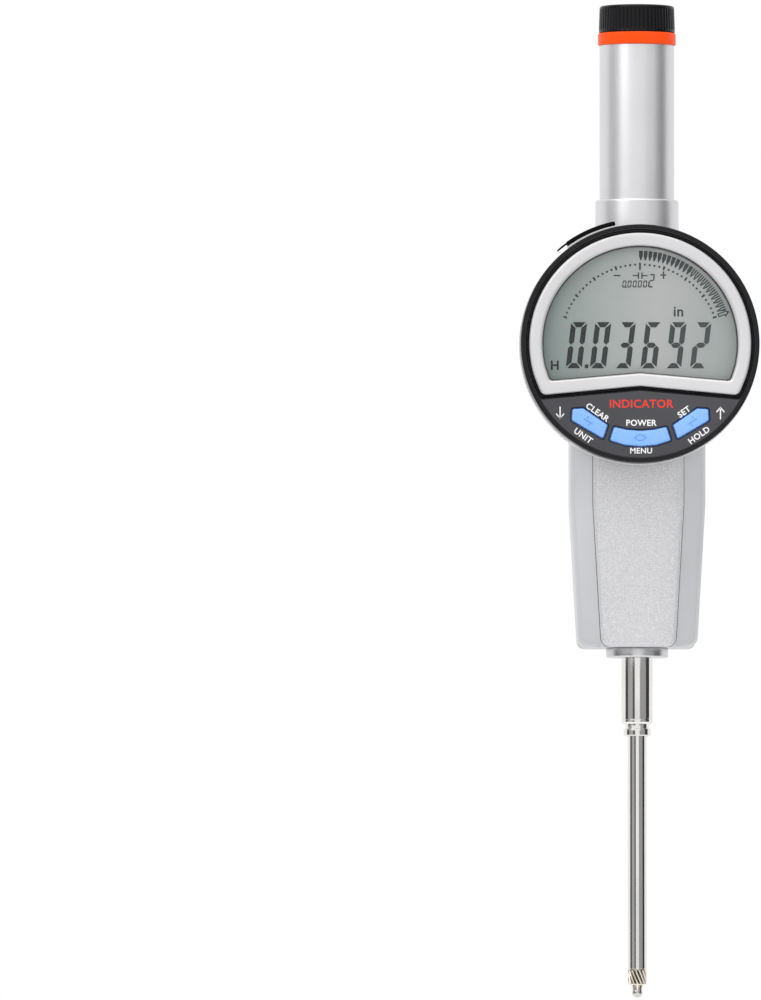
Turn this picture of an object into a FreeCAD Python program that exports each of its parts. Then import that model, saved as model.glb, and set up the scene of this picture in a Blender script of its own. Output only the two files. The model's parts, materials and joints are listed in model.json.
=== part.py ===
import FreeCAD, Part
import Sketcher
import math
import os
import re

# Electronic long-stroke indicator, in millimetres.
# +Z runs up the spindle, the display faces -Y, +X is to the reader's right.
# The origin is on the spindle axis, in the middle of the stem's plain clamping length.

Vector = FreeCAD.Vector
Rotation = FreeCAD.Rotation

DIMENSIONS = [
    # contact point and spindle: heights along Z, radii about the spindle axis
    ("tip_height", -78.6, "lowest point of the ball"),
    ("ball_radius", 1.35, "measuring ball"),
    ("neck_top", -75.2, "top of the tapered neck of the contact point"),
    ("neck_small", 1.27, "neck radius at the ball"),
    ("neck_large", 1.55, "neck radius at the knurl"),
    ("knurl_radius", 2.4, "finger grip of the contact point"),
    ("knurl_top", -71.6, "shoulder that meets the spindle"),
    ("thread_radius", 1.25, "thread of the contact point"),
    ("thread_top", -67.0, "end of that thread"),
    ("spindle_radius", 2.4, ""),
    ("spindle_top", 99.4, "upper end at rest"),
    ("running_gap", 0.03, "radial clearance of the spindle in its bushes"),
    # stem
    ("cap_low", -12.1, "lower face of the stem's end cap"),
    ("cap_high", -10.2, "top of the end cap's rim"),
    ("cap_radius", 3.5, ""),
    ("cap_neck", 3.1, "groove above the rim"),
    ("cap_bore", 2.72, ""),
    ("cap_thread_top", -6.0, "end of the cap's thread in the stem"),
    ("stem_low", -9.1, "lower end of the stem"),
    ("stem_chamfer", 0.55, ""),
    ("stem_radius", 4.0, "standard 8 mm clamping stem"),
    ("stem_bore", 3.0, ""),
    ("clamp_half", 7.8, "half of the plain clamping length"),
    ("score_width", 0.16, "fine groove below the clamping length"),
    ("score_depth", 0.22, ""),
    ("stem_seat", 4.4, "stem inside the shoulder ring and the body"),
    ("stem_high", 15.3, "upper end of the stem, inside the body"),
    ("flange_radius", 7.9, "shoulder ring under the body"),
    ("flange_high", 10.3, "top of the shoulder ring and bottom of the body"),
    ("nut_radius", 6.6, "across the corners of the nut inside the body"),
    ("lower_bush_low", -5.8, ""),
    ("lower_bush_high", 14.0, ""),
    # body casting
    ("body_low_half", 15.05, "half width at the bottom"),
    ("body_half", 17.15, "half width of the parallel part"),
    ("taper_top", 46.7, "where the sides become parallel"),
    ("body_top", 110.4, ""),
    ("body_rear", 10.0, "rear edge of the casting, along Y"),
    ("wing_front", -8.5, "front of the wings at the outer edge"),
    ("field_front", -11.0, "front of the wings beside the raised panel"),
    ("panel_front", -12.5, "face of the raised panel"),
    ("panel_inset", 5.65, "from the side of the body to the panel"),
    ("panel_round", 2.7, "lower corners of the panel"),
    ("panel_bevel", 0.9, "bevel round the panel"),
    ("corner_round", 2.4, "lower outer corners of the body"),
    ("edge_round", 0.9, "bevel of the long edges of the body"),
    ("wall", 2.0, "wall of the casting"),
    ("floor_thick", 2.5, "bottom wall of the casting"),
    ("boss_front", -13.5, "face that the head turns on"),
    ("boss_radius", 14.5, ""),
    ("gasket_rear", 10.5, ""),
    ("cover_rear", 12.0, "flat back of the indicator"),
    ("cover_round", 0.6, ""),
    ("screw_low_x", 12.0, "rear cover screws"),
    ("screw_low_z", 14.8, ""),
    ("screw_high_x", 13.8, ""),
    ("screw_high_z", 106.2, ""),
    ("pillar_radius", 1.9, "posts that the cover screws enter"),
    ("screw_radius", 0.95, "shank of a cover screw"),
    ("screw_head", 1.6, ""),
    ("screw_sink", 0.9, "depth of a screw head in the cover"),
    # top tube
    ("collar_radius", 10.6, ""),
    ("collar_top", 124.3, ""),
    ("collar_round", 1.0, "rounded shoulder"),
    ("collar_spigot", 9.3, "spigot in the top wall"),
    ("tube_radius", 9.5, ""),
    ("tube_bore", 8.3, ""),
    ("tube_low", 118.4, ""),
    ("tube_top", 163.8, ""),
    ("tube_neck", 8.9, "threaded neck for the cap"),
    ("neck_high", 168.8, ""),
    ("ring_radius", 9.9, "coloured ring under the cap"),
    ("ring_top", 166.9, ""),
    ("lid_low_radius", 9.7, "cap, lower end"),
    ("lid_high_radius", 9.5, "cap, upper end"),
    ("lid_top", 173.9, ""),
    ("lid_bevel", 0.7, ""),
    ("lid_roof", 169.6, "inside of the cap's top"),
    # measuring carriage
    ("block_low", 17.5, "clamp block on the spindle, at rest"),
    ("block_high", 29.5, ""),
    ("block_half", 5.5, ""),
    ("block_rear", 5.0, ""),
    ("holder_rear", -3.6, "bar that carries the scale"),
    ("holder_front", -5.0, ""),
    ("holder_half", 4.5, ""),
    ("holder_top", 80.8, ""),
    ("scale_front", -6.2, "glass scale"),
    ("scale_half", 3.5, ""),
    ("scale_margin", 0.5, ""),
    ("lug_reach", 11.6, "lug that the spring pulls on"),
    ("lug_low", 53.5, ""),
    ("lug_high", 57.0, ""),
    ("rail_x", -8.2, "anti-rotation rail"),
    ("rail_y", 2.5, ""),
    ("rail_radius", 1.5, ""),
    ("arm_reach", -10.4, "arm of the clamp block round the rail"),
    ("spring_x", 9.5, "return spring"),
    ("spring_y", -2.6, ""),
    ("spring_coil", 1.9, "mean radius of the coil"),
    ("spring_wire", 0.3, ""),
    ("spring_pitch", 1.55, ""),
    ("hook_radius", 1.5, "ring at each end of the spring"),
    ("post_height", 16.6, "lower spring post"),
    ("pin_height", 55.2, "spring pin on the lug"),
    ("post_radius", 0.8, ""),
    # upper guide and detector
    ("bracket_low", 82.0, ""),
    ("bracket_high", 90.0, ""),
    ("bracket_left", -14.6, ""),
    ("bracket_right", 4.6, ""),
    ("bracket_front", -2.6, ""),
    ("bracket_rear", 6.0, ""),
    ("upper_bush", 3.2, ""),
    ("bumper_high", 82.0, ""),
    ("bumper_low", 80.9, ""),
    ("bumper_radius", 3.4, ""),
    ("board_front", -8.9, "detector board"),
    ("board_rear", -7.9, ""),
    ("board_low", 60.0, ""),
    ("board_high", 80.5, ""),
    ("board_half", 7.0, ""),
    ("reader_rear", -6.6, "reading head, 0.4 from the scale"),
    ("reader_low", 69.0, ""),
    ("reader_high", 80.0, ""),
    ("reader_half", 5.0, ""),
    # head: distances along Y, radii about the head's own axis
    ("head_height", 86.6, "axis of the head above the origin"),
    ("head_back", -13.6, "rear face of the head"),
    ("case_floor", -15.1, "inside of the rear face"),
    ("case_rim", -21.0, "joint between case and bezel"),
    ("case_radius", 30.4, ""),
    ("case_bore", 28.7, ""),
    ("case_round", 0.8, ""),
    ("grip_depth", 0.45, "notches of the finger grips"),
    ("grip_front", -19.6, ""),
    ("grip_rear", -14.6, ""),
    ("hub_radius", 8.9, "journal that the head turns on"),
    ("hub_hole", 8.95, ""),
    ("hub_bore", 5.0, ""),
    ("hub_flange", 11.5, ""),
    ("hub_step", -15.65, ""),
    ("hub_front", -16.3, ""),
    ("washer_rear", -15.2, ""),
    ("washer_front", -15.55, ""),
    ("stop_radius", 12.6, "circle of the stop pin"),
    ("stop_pin", 0.6, ""),
    ("stop_end", -12.7, ""),
    ("stop_floor", -12.5, ""),
    ("stop_slot", 0.8, "half width of the stop slot"),
    ("stop_sweep", 338.0, "angle of the stop slot"),
    ("bezel_radius", 30.25, ""),
    ("bezel_front", -28.0, ""),
    ("bezel_bore", 28.7, ""),
    ("bezel_shelf", -25.7, "inside of the front wall"),
    ("bezel_round", 0.55, ""),
    ("rim_width", 1.1, "raised rim of the bezel"),
    ("keypad_front", -27.7, "keypad field, behind the rim"),
    ("frame_well", -26.7, "floor of the well that holds the display frame"),
    ("well_radius", 29.0, ""),
    ("well_corner", -13.9, ""),
    ("well_peak", -11.55, ""),
    ("frame_radius", 28.1, ""),
    ("frame_corner", -13.1, ""),
    ("frame_peak", -10.75, ""),
    ("frame_front", -28.3, ""),
    ("frame_step", -27.5, "seat of the lens under the frame"),
    ("frame_bevel", 0.55, ""),
    ("view_radius", 24.8, "visible window"),
    ("view_corner", -9.5, ""),
    ("view_peak", -7.5, ""),
    ("lens_radius", 26.4, ""),
    ("lens_corner", -11.2, ""),
    ("lens_peak", -9.1, ""),
    ("glass_radius", 25.3, "display glass"),
    ("glass_corner", -10.3, ""),
    ("glass_peak", -8.3, ""),
    ("glass_front", -25.6, ""),
    ("glass_rear", -23.9, ""),
    ("carrier_width", 1.8, "rim of the carrier behind the display glass"),
    ("carrier_rear", -21.7, ""),
    ("main_front", -21.6, "main board"),
    ("main_rear", -20.6, ""),
    ("main_radius", 25.4, ""),
    ("case_screw_circle", 27.4, "screws that hold the bezel"),
    ("case_pillar", 1.6, ""),
    ("case_screw", 0.7, ""),
    ("case_screw_head", 1.2, ""),
    # keys
    ("key_front", -28.25, ""),
    ("key_flange_front", -25.6, ""),
    ("key_flange_rear", -25.05, ""),
    ("key_lip", 0.5, "flange that keeps a key in"),
    ("key_gap", 0.3, ""),
    ("key_round", 0.5, ""),
    ("mat_front", -24.4, "keypad mat"),
    ("mat_rear", -23.9, ""),
    # battery
    ("cell_radius", 10.0, "CR2032 cell"),
    ("cell_x", 14.5, ""),
    ("cell_front", -20.1, ""),
    ("cell_rear", -16.9, ""),
    ("tray_rear", -16.6, ""),
    ("tray_left", 3.0, ""),
    ("tray_half", 10.9, ""),
    ("tray_radius", 30.35, ""),
    # data port
    ("port_angle", 113.5, "direction of the data port round the head"),
    ("socket_low", 22.0, "inner end of the data socket, from the head's axis"),
    ("socket_high", 27.3, ""),
    ("socket_half", 5.5, ""),
    ("plug_half", 4.6, ""),
    ("plug_front", -19.6, ""),
    ("plug_rear", -17.0, ""),
    ("plug_low", 27.6, ""),
    ("port_gap", 0.3, ""),
    ("cover_low", 30.9, "cover strip outside the rim"),
    ("cover_high", 32.0, ""),
    ("strip_front", -20.6, ""),
    ("strip_rear", -15.6, ""),
    ("strip_sweep", 24.4, ""),
    ("tab_low", 31.4, ""),
    ("tab_high", 31.9, ""),
    ("tab_sweep", 5.5, ""),
]

document = FreeCAD.newDocument("Indicator")
sheet = document.addObject("Spreadsheet::Sheet", "Dims")
for row, (alias, value, note) in enumerate(DIMENSIONS, start=1):
    sheet.set(f"A{row}", str(value))
    sheet.setAlias(f"A{row}", alias)
    sheet.set(f"B{row}", alias + (": " + note if note else ""))
document.recompute()

ALIASES = {alias for alias, value, note in DIMENSIONS}
pieces = []


def size(alias):
    """The number that a cell of the sheet holds."""
    return float(getattr(sheet, alias))


def bound(text):
    """Turns aliases in a formula into references to the sheet."""
    return re.sub(r"[a-z_]+", lambda m: "Dims." + m.group() if m.group() in ALIASES else m.group(), text)


def drive(target, path, formula):
    """Binds one property of an object to a formula of the sheet."""
    target.setExpression(path, bound(formula))


def new_body(label):
    body = document.addObject("PartDesign::Body", "Body_" + label)
    body.Label = label
    pieces.append(body)
    return body


def finish_place(piece, x="0", y="0", z="0"):
    """Places a piece by formulas."""
    for axis, formula in (("x", x), ("y", y), ("z", z)):
        if formula != "0":
            drive(piece, "Placement.Base." + axis, formula)


def new_sketch(body, role, offset="0", turn=0.0):
    """A sketch on one of the body's own origin planes, moved along its normal."""
    sketch = body.newObject("Sketcher::SketchObject", "Sketch")
    plane = [feature for feature in body.Origin.OriginFeatures if feature.Role == role][0]
    sketch.AttachmentSupport = [(plane, "")]
    sketch.MapMode = "FlatFace"
    if turn:
        sketch.AttachmentOffset = FreeCAD.Placement(Vector(0, 0, 0), Rotation(Vector(0, 0, 1), turn))
    if offset != "0":
        drive(sketch, "AttachmentOffset.Base.z", offset)
    return sketch


def hold_point(sketch, element, end, x, y):
    """Fixes one end of an element at the place that two formulas give."""
    for kind, axis, formula in (("DistanceX", -2, x), ("DistanceY", -1, y)):
        if formula == "0":
            sketch.addConstraint(Sketcher.Constraint("PointOnObject", element, end, axis))
        else:
            index = sketch.addConstraint(Sketcher.Constraint(kind, -1, 1, element, end, 1.0))
            drive(sketch, f"Constraints[{index}]", formula)


def polygon(sketch, points):
    """A closed outline through points given as pairs of formulas."""
    count = len(points)
    first = len(sketch.Geometry)
    start = [Vector(40 + math.cos(2 * math.pi * i / count), math.sin(2 * math.pi * i / count), 0)
             for i in range(count)]
    for i in range(count):
        sketch.addGeometry(Part.LineSegment(start[i], start[(i + 1) % count]), False)
    for i in range(count):
        sketch.addConstraint(
            Sketcher.Constraint("Coincident", first + i, 2, first + (i + 1) % count, 1))
    for i, (x, y) in enumerate(points):
        hold_point(sketch, first + i, 1, x, y)


def circle(sketch, radius, x="0", y="0"):
    index = sketch.addGeometry(Part.Circle(Vector(1, 1, 0), Vector(0, 0, 1), 5.0), False)
    hold_point(sketch, index, 3, x, y)
    limit = sketch.addConstraint(Sketcher.Constraint("Radius", index, 5.0))
    drive(sketch, f"Constraints[{limit}]", radius)


def display_outline(sketch, radius, corner, peak):
    """A round window cut off below by two straight edges that meet in a low peak."""
    guess = size("view_radius")
    arc = Part.ArcOfCircle(Part.Circle(Vector(0, 0, 0), Vector(0, 0, 1), guess), -0.4, math.pi + 0.4)
    right = Vector(guess * math.cos(0.4), -guess * math.sin(0.4), 0)
    left = Vector(-right.x, right.y, 0)
    middle = Vector(0, right.y + 2, 0)
    sketch.addGeometry(arc, False)
    sketch.addGeometry(Part.LineSegment(left, middle), False)
    sketch.addGeometry(Part.LineSegment(middle, right), False)
    for a, a_end, b, b_end in ((0, 2, 1, 1), (1, 2, 2, 1), (2, 2, 0, 1), (0, 3, -1, 1)):
        sketch.addConstraint(Sketcher.Constraint("Coincident", a, a_end, b, b_end))
    sketch.addConstraint(Sketcher.Constraint("PointOnObject", 1, 2, -2))
    heights = ((0, 1, corner), (0, 2, corner), (1, 2, peak))
    for element, end, formula in heights:
        index = sketch.addConstraint(Sketcher.Constraint("DistanceY", -1, 1, element, end, middle.y))
        drive(sketch, f"Constraints[{index}]", formula)
    index = sketch.addConstraint(Sketcher.Constraint("Radius", 0, guess))
    drive(sketch, f"Constraints[{index}]", radius)


def rectangle(sketch, left, right, low, high):
    polygon(sketch, [(left, low), (right, low), (right, high), (left, high)])


def mirrored(points):
    """Right-hand points followed by their mirror images, so that an outline closes."""
    return points + [(f"-1 * ({x})", y) for x, y in reversed(points) if x != "0"]


def prism(body, role, start, end, draw, cut=False, turn=0.0):
    """Pads or pockets an outline from start to end along the normal of a plane.

    Start and end are formulas along +Y for the XZ plane and along +Z for the XY plane."""
    facing_back = role == "XZ_Plane"
    if facing_back:
        offset = f"-1 * ({start})" if cut else f"-1 * ({end})"
    else:
        offset = end if cut else start
    sketch = new_sketch(body, role, offset, turn)
    draw(sketch)
    document.recompute()
    kind = "Pocket" if cut else "Pad"
    feature = body.newObject("PartDesign::" + kind, kind)
    feature.Profile = sketch
    drive(feature, "Length", f"({end}) - ({start})")
    document.recompute()
    return feature


def turned(body, role, points, cut=False, sweep=None, centred=True):
    """Turns a closed outline of (radius, height) formulas about the plane's upright axis."""
    sketch = new_sketch(body, role)
    polygon(sketch, points)
    document.recompute()
    kind = "Groove" if cut else "Revolution"
    feature = body.newObject("PartDesign::" + kind, kind)
    feature.Profile = sketch
    feature.ReferenceAxis = (sketch, ["V_Axis"])
    feature.Angle = 360
    if sweep:
        drive(feature, "Angle", sweep)
        feature.Midplane = centred
    document.recompute()
    return feature


def ring(label, role, bore, radius, low, high):
    """A plain ring about the spindle (XZ plane) or about the head's axis (XY plane)."""
    body = new_body(label)
    turned(body, role, [(bore, low), (radius, low), (radius, high), (bore, high)])
    return body


def edges_where(body, test):
    """Names of the edges of the body's current shape that pass a test."""
    return [f"Edge{i}" for i, edge in enumerate(body.Tip.Shape.Edges, start=1) if test(edge)]


def dress(body, kind, names, radius):
    """Fillets or chamfers named edges of the body's current shape."""
    base = body.Tip
    feature = body.newObject("PartDesign::" + kind, kind)
    feature.Base = (base, names)
    drive(feature, "Radius" if kind == "Fillet" else "Size", radius)
    document.recompute()
    return feature


def is_arc(edge, radius, y=None):
    """True for a circular edge of this radius, at this depth when one is given."""
    if not isinstance(edge.Curve, Part.Circle) or abs(edge.Curve.Radius - radius) > 1e-4:
        return False
    return y is None or abs(edge.Curve.Center.y - y) < 1e-4


def runs_along(edge, axis):
    """True for a straight edge parallel to a direction."""
    if not isinstance(edge.Curve, Part.Line):
        return False
    return abs(abs(edge.Curve.Direction.dot(axis)) - 1) < 1e-6


DEPTH = Vector(0, 1, 0)
UPRIGHT = Vector(0, 0, 1)


# ---------------------------------------------------------------- fasteners

def cylinder(radius, length, place):
    part = document.addObject("Part::Cylinder", "Cylinder")
    drive(part, "Radius", radius)
    drive(part, "Height", length)
    part.Placement = place
    return part


def box(label, low, high):
    """A block between two corners given as formulas."""
    part = document.addObject("Part::Box", "Box_" + label)
    for side, near, far in zip(("Length", "Width", "Height"), low, high):
        drive(part, side, f"({far}) - ({near})")
    finish_place(part, *low)
    part.Label = label
    return part


def screw(place, shank_radius, shank_length, head_radius, head_length):
    """A socket-head screw whose head ends at the origin and whose shank runs along +Z."""
    head = cylinder(head_radius, head_length, FreeCAD.Placement())
    shank = cylinder(shank_radius, f"{head_length} + {shank_length}", FreeCAD.Placement())
    blank = document.addObject("Part::Fuse", "Blank")
    blank.Base = head
    blank.Tool = shank
    socket = document.addObject("Part::Prism", "Socket")
    socket.Polygon = 6
    drive(socket, "Circumradius", f"{shank_radius} * 0.8")
    drive(socket, "Height", f"{head_length} * 0.6")
    made = document.addObject("Part::Cut", "Screw")
    made.Base = blank
    made.Tool = socket
    made.Placement = place
    return made


def screw_group(label, places, shank_radius, shank_length, head_radius, head_length):
    group = document.addObject("Part::Compound", "Group_" + label)
    group.Links = [screw(place, shank_radius, shank_length, head_radius, head_length)
                   for place in places]
    group.Label = label
    pieces.append(group)
    return group


def facing(x, y, z, axis):
    """Placement that turns +Z to an axis."""
    return FreeCAD.Placement(Vector(x, y, z), Rotation(Vector(0, 0, 1), axis))


# ---------------------------------------------------------------- contact point and spindle

def contact_point():
    body = new_body("contact_point")
    turned(body, "XZ_Plane", [
        ("0", "tip_height + ball_radius"),
        ("neck_small", "tip_height + ball_radius"),
        ("neck_small + 0.05", "tip_height + 2 * ball_radius"),
        ("neck_large", "neck_top"),
        ("knurl_radius - 0.3", "neck_top"),
        ("knurl_radius", "neck_top + 0.3"),
        ("knurl_radius", "knurl_top - 0.25"),
        ("knurl_radius - 0.25", "knurl_top"),
        ("thread_radius", "knurl_top"),
        ("thread_radius", "thread_top"),
        ("0", "thread_top"),
    ])
    seat = document.addObject("Part::Sphere", "Seat")
    drive(seat, "Radius", "ball_radius")
    finish_place(seat, z="tip_height + ball_radius")
    pieces.remove(body)
    body.Label = "contact_blank"
    cut = document.addObject("Part::Cut", "ContactPoint")
    cut.Base = body
    cut.Tool = seat
    cut.Label = "contact_point"
    pieces.append(cut)


def contact_ball():
    ball = document.addObject("Part::Sphere", "Ball")
    drive(ball, "Radius", "ball_radius")
    finish_place(ball, z="tip_height + ball_radius")
    ball.Label = "contact_ball"
    pieces.append(ball)


def spindle():
    body = new_body("spindle")
    turned(body, "XZ_Plane", [
        ("thread_radius", "knurl_top"),
        ("spindle_radius - 0.2", "knurl_top"),
        ("spindle_radius", "knurl_top + 0.2"),
        ("spindle_radius", "spindle_top - 0.4"),
        ("spindle_radius - 0.4", "spindle_top"),
        ("0", "spindle_top"),
        ("0", "thread_top"),
        ("thread_radius", "thread_top"),
    ])


# ---------------------------------------------------------------- stem

def stem():
    body = new_body("stem")
    turned(body, "XZ_Plane", [
        ("stem_bore", "stem_low"),
        ("stem_radius - stem_chamfer", "stem_low"),
        ("stem_radius", "stem_low + stem_chamfer"),
        ("stem_radius", "-1 * clamp_half - score_width"),
        ("stem_radius - score_depth", "-1 * clamp_half - score_width"),
        ("stem_radius - score_depth", "-1 * clamp_half"),
        ("stem_radius", "-1 * clamp_half"),
        ("stem_radius", "clamp_half"),
        ("stem_seat", "clamp_half"),
        ("stem_seat", "stem_high"),
        ("stem_bore", "stem_high"),
    ])


def stem_end_cap():
    body = new_body("stem_end_cap")
    turned(body, "XZ_Plane", [
        ("cap_bore", "cap_low"),
        ("cap_radius - 0.25", "cap_low"),
        ("cap_radius", "cap_low + 0.25"),
        ("cap_radius", "cap_high"),
        ("cap_neck", "cap_high"),
        ("cap_neck", "stem_low"),
        ("stem_bore", "stem_low"),
        ("stem_bore", "cap_thread_top"),
        ("cap_bore", "cap_thread_top"),
    ])


def stem_parts():
    stem()
    stem_end_cap()
    ring("spindle_wiper", "XZ_Plane", "spindle_radius + running_gap", "cap_bore",
         "cap_low + 0.6", "cap_high")
    ring("lower_bush", "XZ_Plane", "spindle_radius + running_gap", "stem_bore",
         "lower_bush_low", "lower_bush_high")
    flange = ring("stem_flange", "XZ_Plane", "stem_seat", "flange_radius",
                  "clamp_half", "flange_high")
    rims = edges_where(flange, lambda e: is_arc(e, size("flange_radius")))
    dress(flange, "Fillet", rims, "0.45")
    nut = new_body("stem_nut")

    def hexagon(sketch):
        polygon(sketch, [(f"nut_radius * cos({60 * i} deg)", f"nut_radius * sin({60 * i} deg)")
                         if i % 3 else (f"nut_radius * {1 - 2 * (i == 3)}", "0")
                         for i in range(6)])
        circle(sketch, "stem_seat")
    prism(nut, "XY_Plane", "flange_high + floor_thick", "stem_high", hexagon)


# ---------------------------------------------------------------- body

HUB_SCREW_RADIUS = 7.0
HUB_SCREWS = [(f"{HUB_SCREW_RADIUS * math.cos(math.radians(a)):.4f}",
               f"{HUB_SCREW_RADIUS * math.sin(math.radians(a)):.4f}") for a in (90, 210, 330)]
BRACKET_SCREW_X = "-12.3"
BRACKET_SCREWS = ("bracket_low + 2.2", "bracket_high - 2.2")
BOARD_SCREW_X = ("-5.4", "5.4")


def body_section(sketch, half, inset, rear):
    """Plan of the casting: flat sides, bevelled edges, sloping wings and a field for the panel."""
    polygon(sketch, mirrored([
        (f"{half} - {inset}", rear),
        (f"{half} - {inset}", f"wing_front + edge_round + {inset}"),
        (f"{half} - edge_round - {inset}", f"wing_front - edge_round / 3 + {inset}"),
        (f"{half} - panel_inset", f"field_front + {inset}"),
    ]))


def body_outline(sketch, inset):
    """Front outline of the body: straight taper below, parallel sides above."""
    polygon(sketch, mirrored([
        (f"body_low_half - {inset}", f"flange_high + {inset}"),
        (f"body_half - {inset}", "taper_top"),
        (f"body_half - {inset}", f"body_top - {inset}"),
    ]))


def taper(body, low, high, inset, rear, cut):
    """Loft between the plan at the bottom and the plan where the sides become parallel."""
    lower = new_sketch(body, "XY_Plane", low)
    body_section(lower, "body_low_half", inset, rear)
    upper = new_sketch(body, "XY_Plane", high)
    body_section(upper, "body_half", inset, rear)
    document.recompute()
    kind = "PartDesign::SubtractiveLoft" if cut else "PartDesign::AdditiveLoft"
    loft = body.newObject(kind, "Taper")
    loft.Profile = lower
    loft.Sections = [upper]
    loft.Ruled = True
    document.recompute()


def cover_screw_points():
    return [(side + " * " + x, z) for x, z in (("screw_low_x", "screw_low_z"),
                                               ("screw_high_x", "screw_high_z"))
            for side in ("1", "-1")]


def body_casting():
    body = new_body("body_casting")

    def panel(sketch):
        polygon(sketch, mirrored([
            ("body_low_half - panel_inset", "flange_high"),
            ("body_half - panel_inset", "taper_top"),
            ("body_half - panel_inset", "body_top"),
        ]))
    prism(body, "XZ_Plane", "panel_front", "field_front + 1", panel)
    low_corners = edges_where(
        body, lambda e: runs_along(e, DEPTH) and e.CenterOfMass.z < size("flange_high") + 1)
    dress(body, "Fillet", low_corners, "panel_round")
    face_edges = edges_where(
        body, lambda e: abs(e.CenterOfMass.y - size("panel_front")) < 1e-6
        and e.CenterOfMass.z < size("body_top") - 1)
    dress(body, "Chamfer", face_edges, "panel_bevel")

    taper(body, "flange_high", "taper_top", "0", "body_rear", cut=False)
    prism(body, "XY_Plane", "taper_top", "body_top",
          lambda s: body_section(s, "body_half", "0", "body_rear"))
    low_corners = edges_where(
        body, lambda e: runs_along(e, DEPTH) and abs(e.CenterOfMass.x) > size("body_low_half") - 1
        and e.CenterOfMass.z < size("flange_high") + 1)
    dress(body, "Fillet", low_corners, "corner_round")

    prism(body, "XZ_Plane", "boss_front", "wing_front",
          lambda s: circle(s, "boss_radius", "0", "head_height"))
    taper(body, "flange_high + floor_thick", "taper_top", "wall", "body_rear + 1", cut=True)
    prism(body, "XY_Plane", "taper_top", "body_top - wall",
          lambda s: body_section(s, "body_half", "wall", "body_rear + 1"), cut=True)

    for x, z in cover_screw_points():
        prism(body, "XZ_Plane", "2", "body_rear", lambda s: circle(s, "pillar_radius", x, z))
        prism(body, "XZ_Plane", "3", "body_rear + 1",
              lambda s: circle(s, "screw_radius", x, z), cut=True)
    for z in BRACKET_SCREWS:
        prism(body, "XZ_Plane", "field_front + 1.5", "bracket_front",
              lambda s: circle(s, "case_pillar", BRACKET_SCREW_X, z))
        prism(body, "XZ_Plane", "field_front + 3.5", "bracket_front + 1",
              lambda s: circle(s, "case_screw", BRACKET_SCREW_X, z), cut=True)

    prism(body, "XY_Plane", "flange_high - 1", "flange_high + floor_thick + 1",
          lambda s: circle(s, "stem_seat"), cut=True)
    prism(body, "XY_Plane", "flange_high + floor_thick - 1.2", "flange_high + floor_thick + 1",
          lambda s: circle(s, "rail_radius", "rail_x", "rail_y"), cut=True)
    prism(body, "XY_Plane", "body_top - wall - 1", "body_top + 1",
          lambda s: circle(s, "collar_spigot"), cut=True)
    prism(body, "XZ_Plane", "boss_front - 1", "wing_front",
          lambda s: circle(s, "hub_bore", "0", "head_height"), cut=True)
    for x, z in HUB_SCREWS:
        prism(body, "XZ_Plane", "boss_front - 1", "boss_front + 2.9",
              lambda s: circle(s, "case_screw", x, f"head_height + {z}"), cut=True)
    prism(body, "XZ_Plane", "field_front + 0.8", "field_front + wall + 1",
          lambda s: circle(s, "post_radius", "spring_x", "post_height"), cut=True)
    for x in BOARD_SCREW_X:
        prism(body, "XZ_Plane", "panel_front + 1", "field_front + wall + 1",
              lambda s: circle(s, "case_screw", x, "board_low + 2.5"), cut=True)

    slot = new_sketch(body, "XY_Plane", "head_height")
    rectangle(slot, "stop_radius - stop_slot", "stop_radius + stop_slot", "boss_front - 1", "stop_floor")
    document.recompute()
    groove = body.newObject("PartDesign::Groove", "StopSlot")
    groove.Profile = slot
    groove.ReferenceAxis = (slot, ["V_Axis"])
    groove.Midplane = True
    drive(groove, "Angle", "stop_sweep")
    document.recompute()


def rear_cover():
    gasket = new_body("rear_gasket")
    prism(gasket, "XZ_Plane", "body_rear", "gasket_rear", lambda s: body_outline(s, "0.6"))
    prism(gasket, "XZ_Plane", "body_rear", "gasket_rear", lambda s: body_outline(s, "wall"), cut=True)
    cover = new_body("rear_cover")
    prism(cover, "XZ_Plane", "gasket_rear", "cover_rear", lambda s: body_outline(s, "0"))
    low_corners = edges_where(
        cover, lambda e: runs_along(e, DEPTH) and e.CenterOfMass.z < size("flange_high") + 1)
    dress(cover, "Fillet", low_corners, "corner_round")
    back_edges = edges_where(cover, lambda e: abs(e.CenterOfMass.y - size("cover_rear")) < 1e-6)
    dress(cover, "Fillet", back_edges, "cover_round")
    for x, z in cover_screw_points():
        prism(cover, "XZ_Plane", "gasket_rear - 1", "cover_rear + 1",
              lambda s: circle(s, "screw_radius", x, z), cut=True)
        prism(cover, "XZ_Plane", "cover_rear - screw_sink", "cover_rear + 1",
              lambda s: circle(s, "screw_head + 0.1", x, z), cut=True)
    signs = (1, -1)
    corners = [(side * size(f"screw_{end}_x"), size(f"screw_{end}_z"))
               for end in ("low", "high") for side in signs]
    places = [facing(x, size("cover_rear") - 0.1, z, Vector(0, -1, 0)) for x, z in corners]
    screw_group("cover_screws", places, "screw_radius", "7.4", "screw_head", "0.8")


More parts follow.
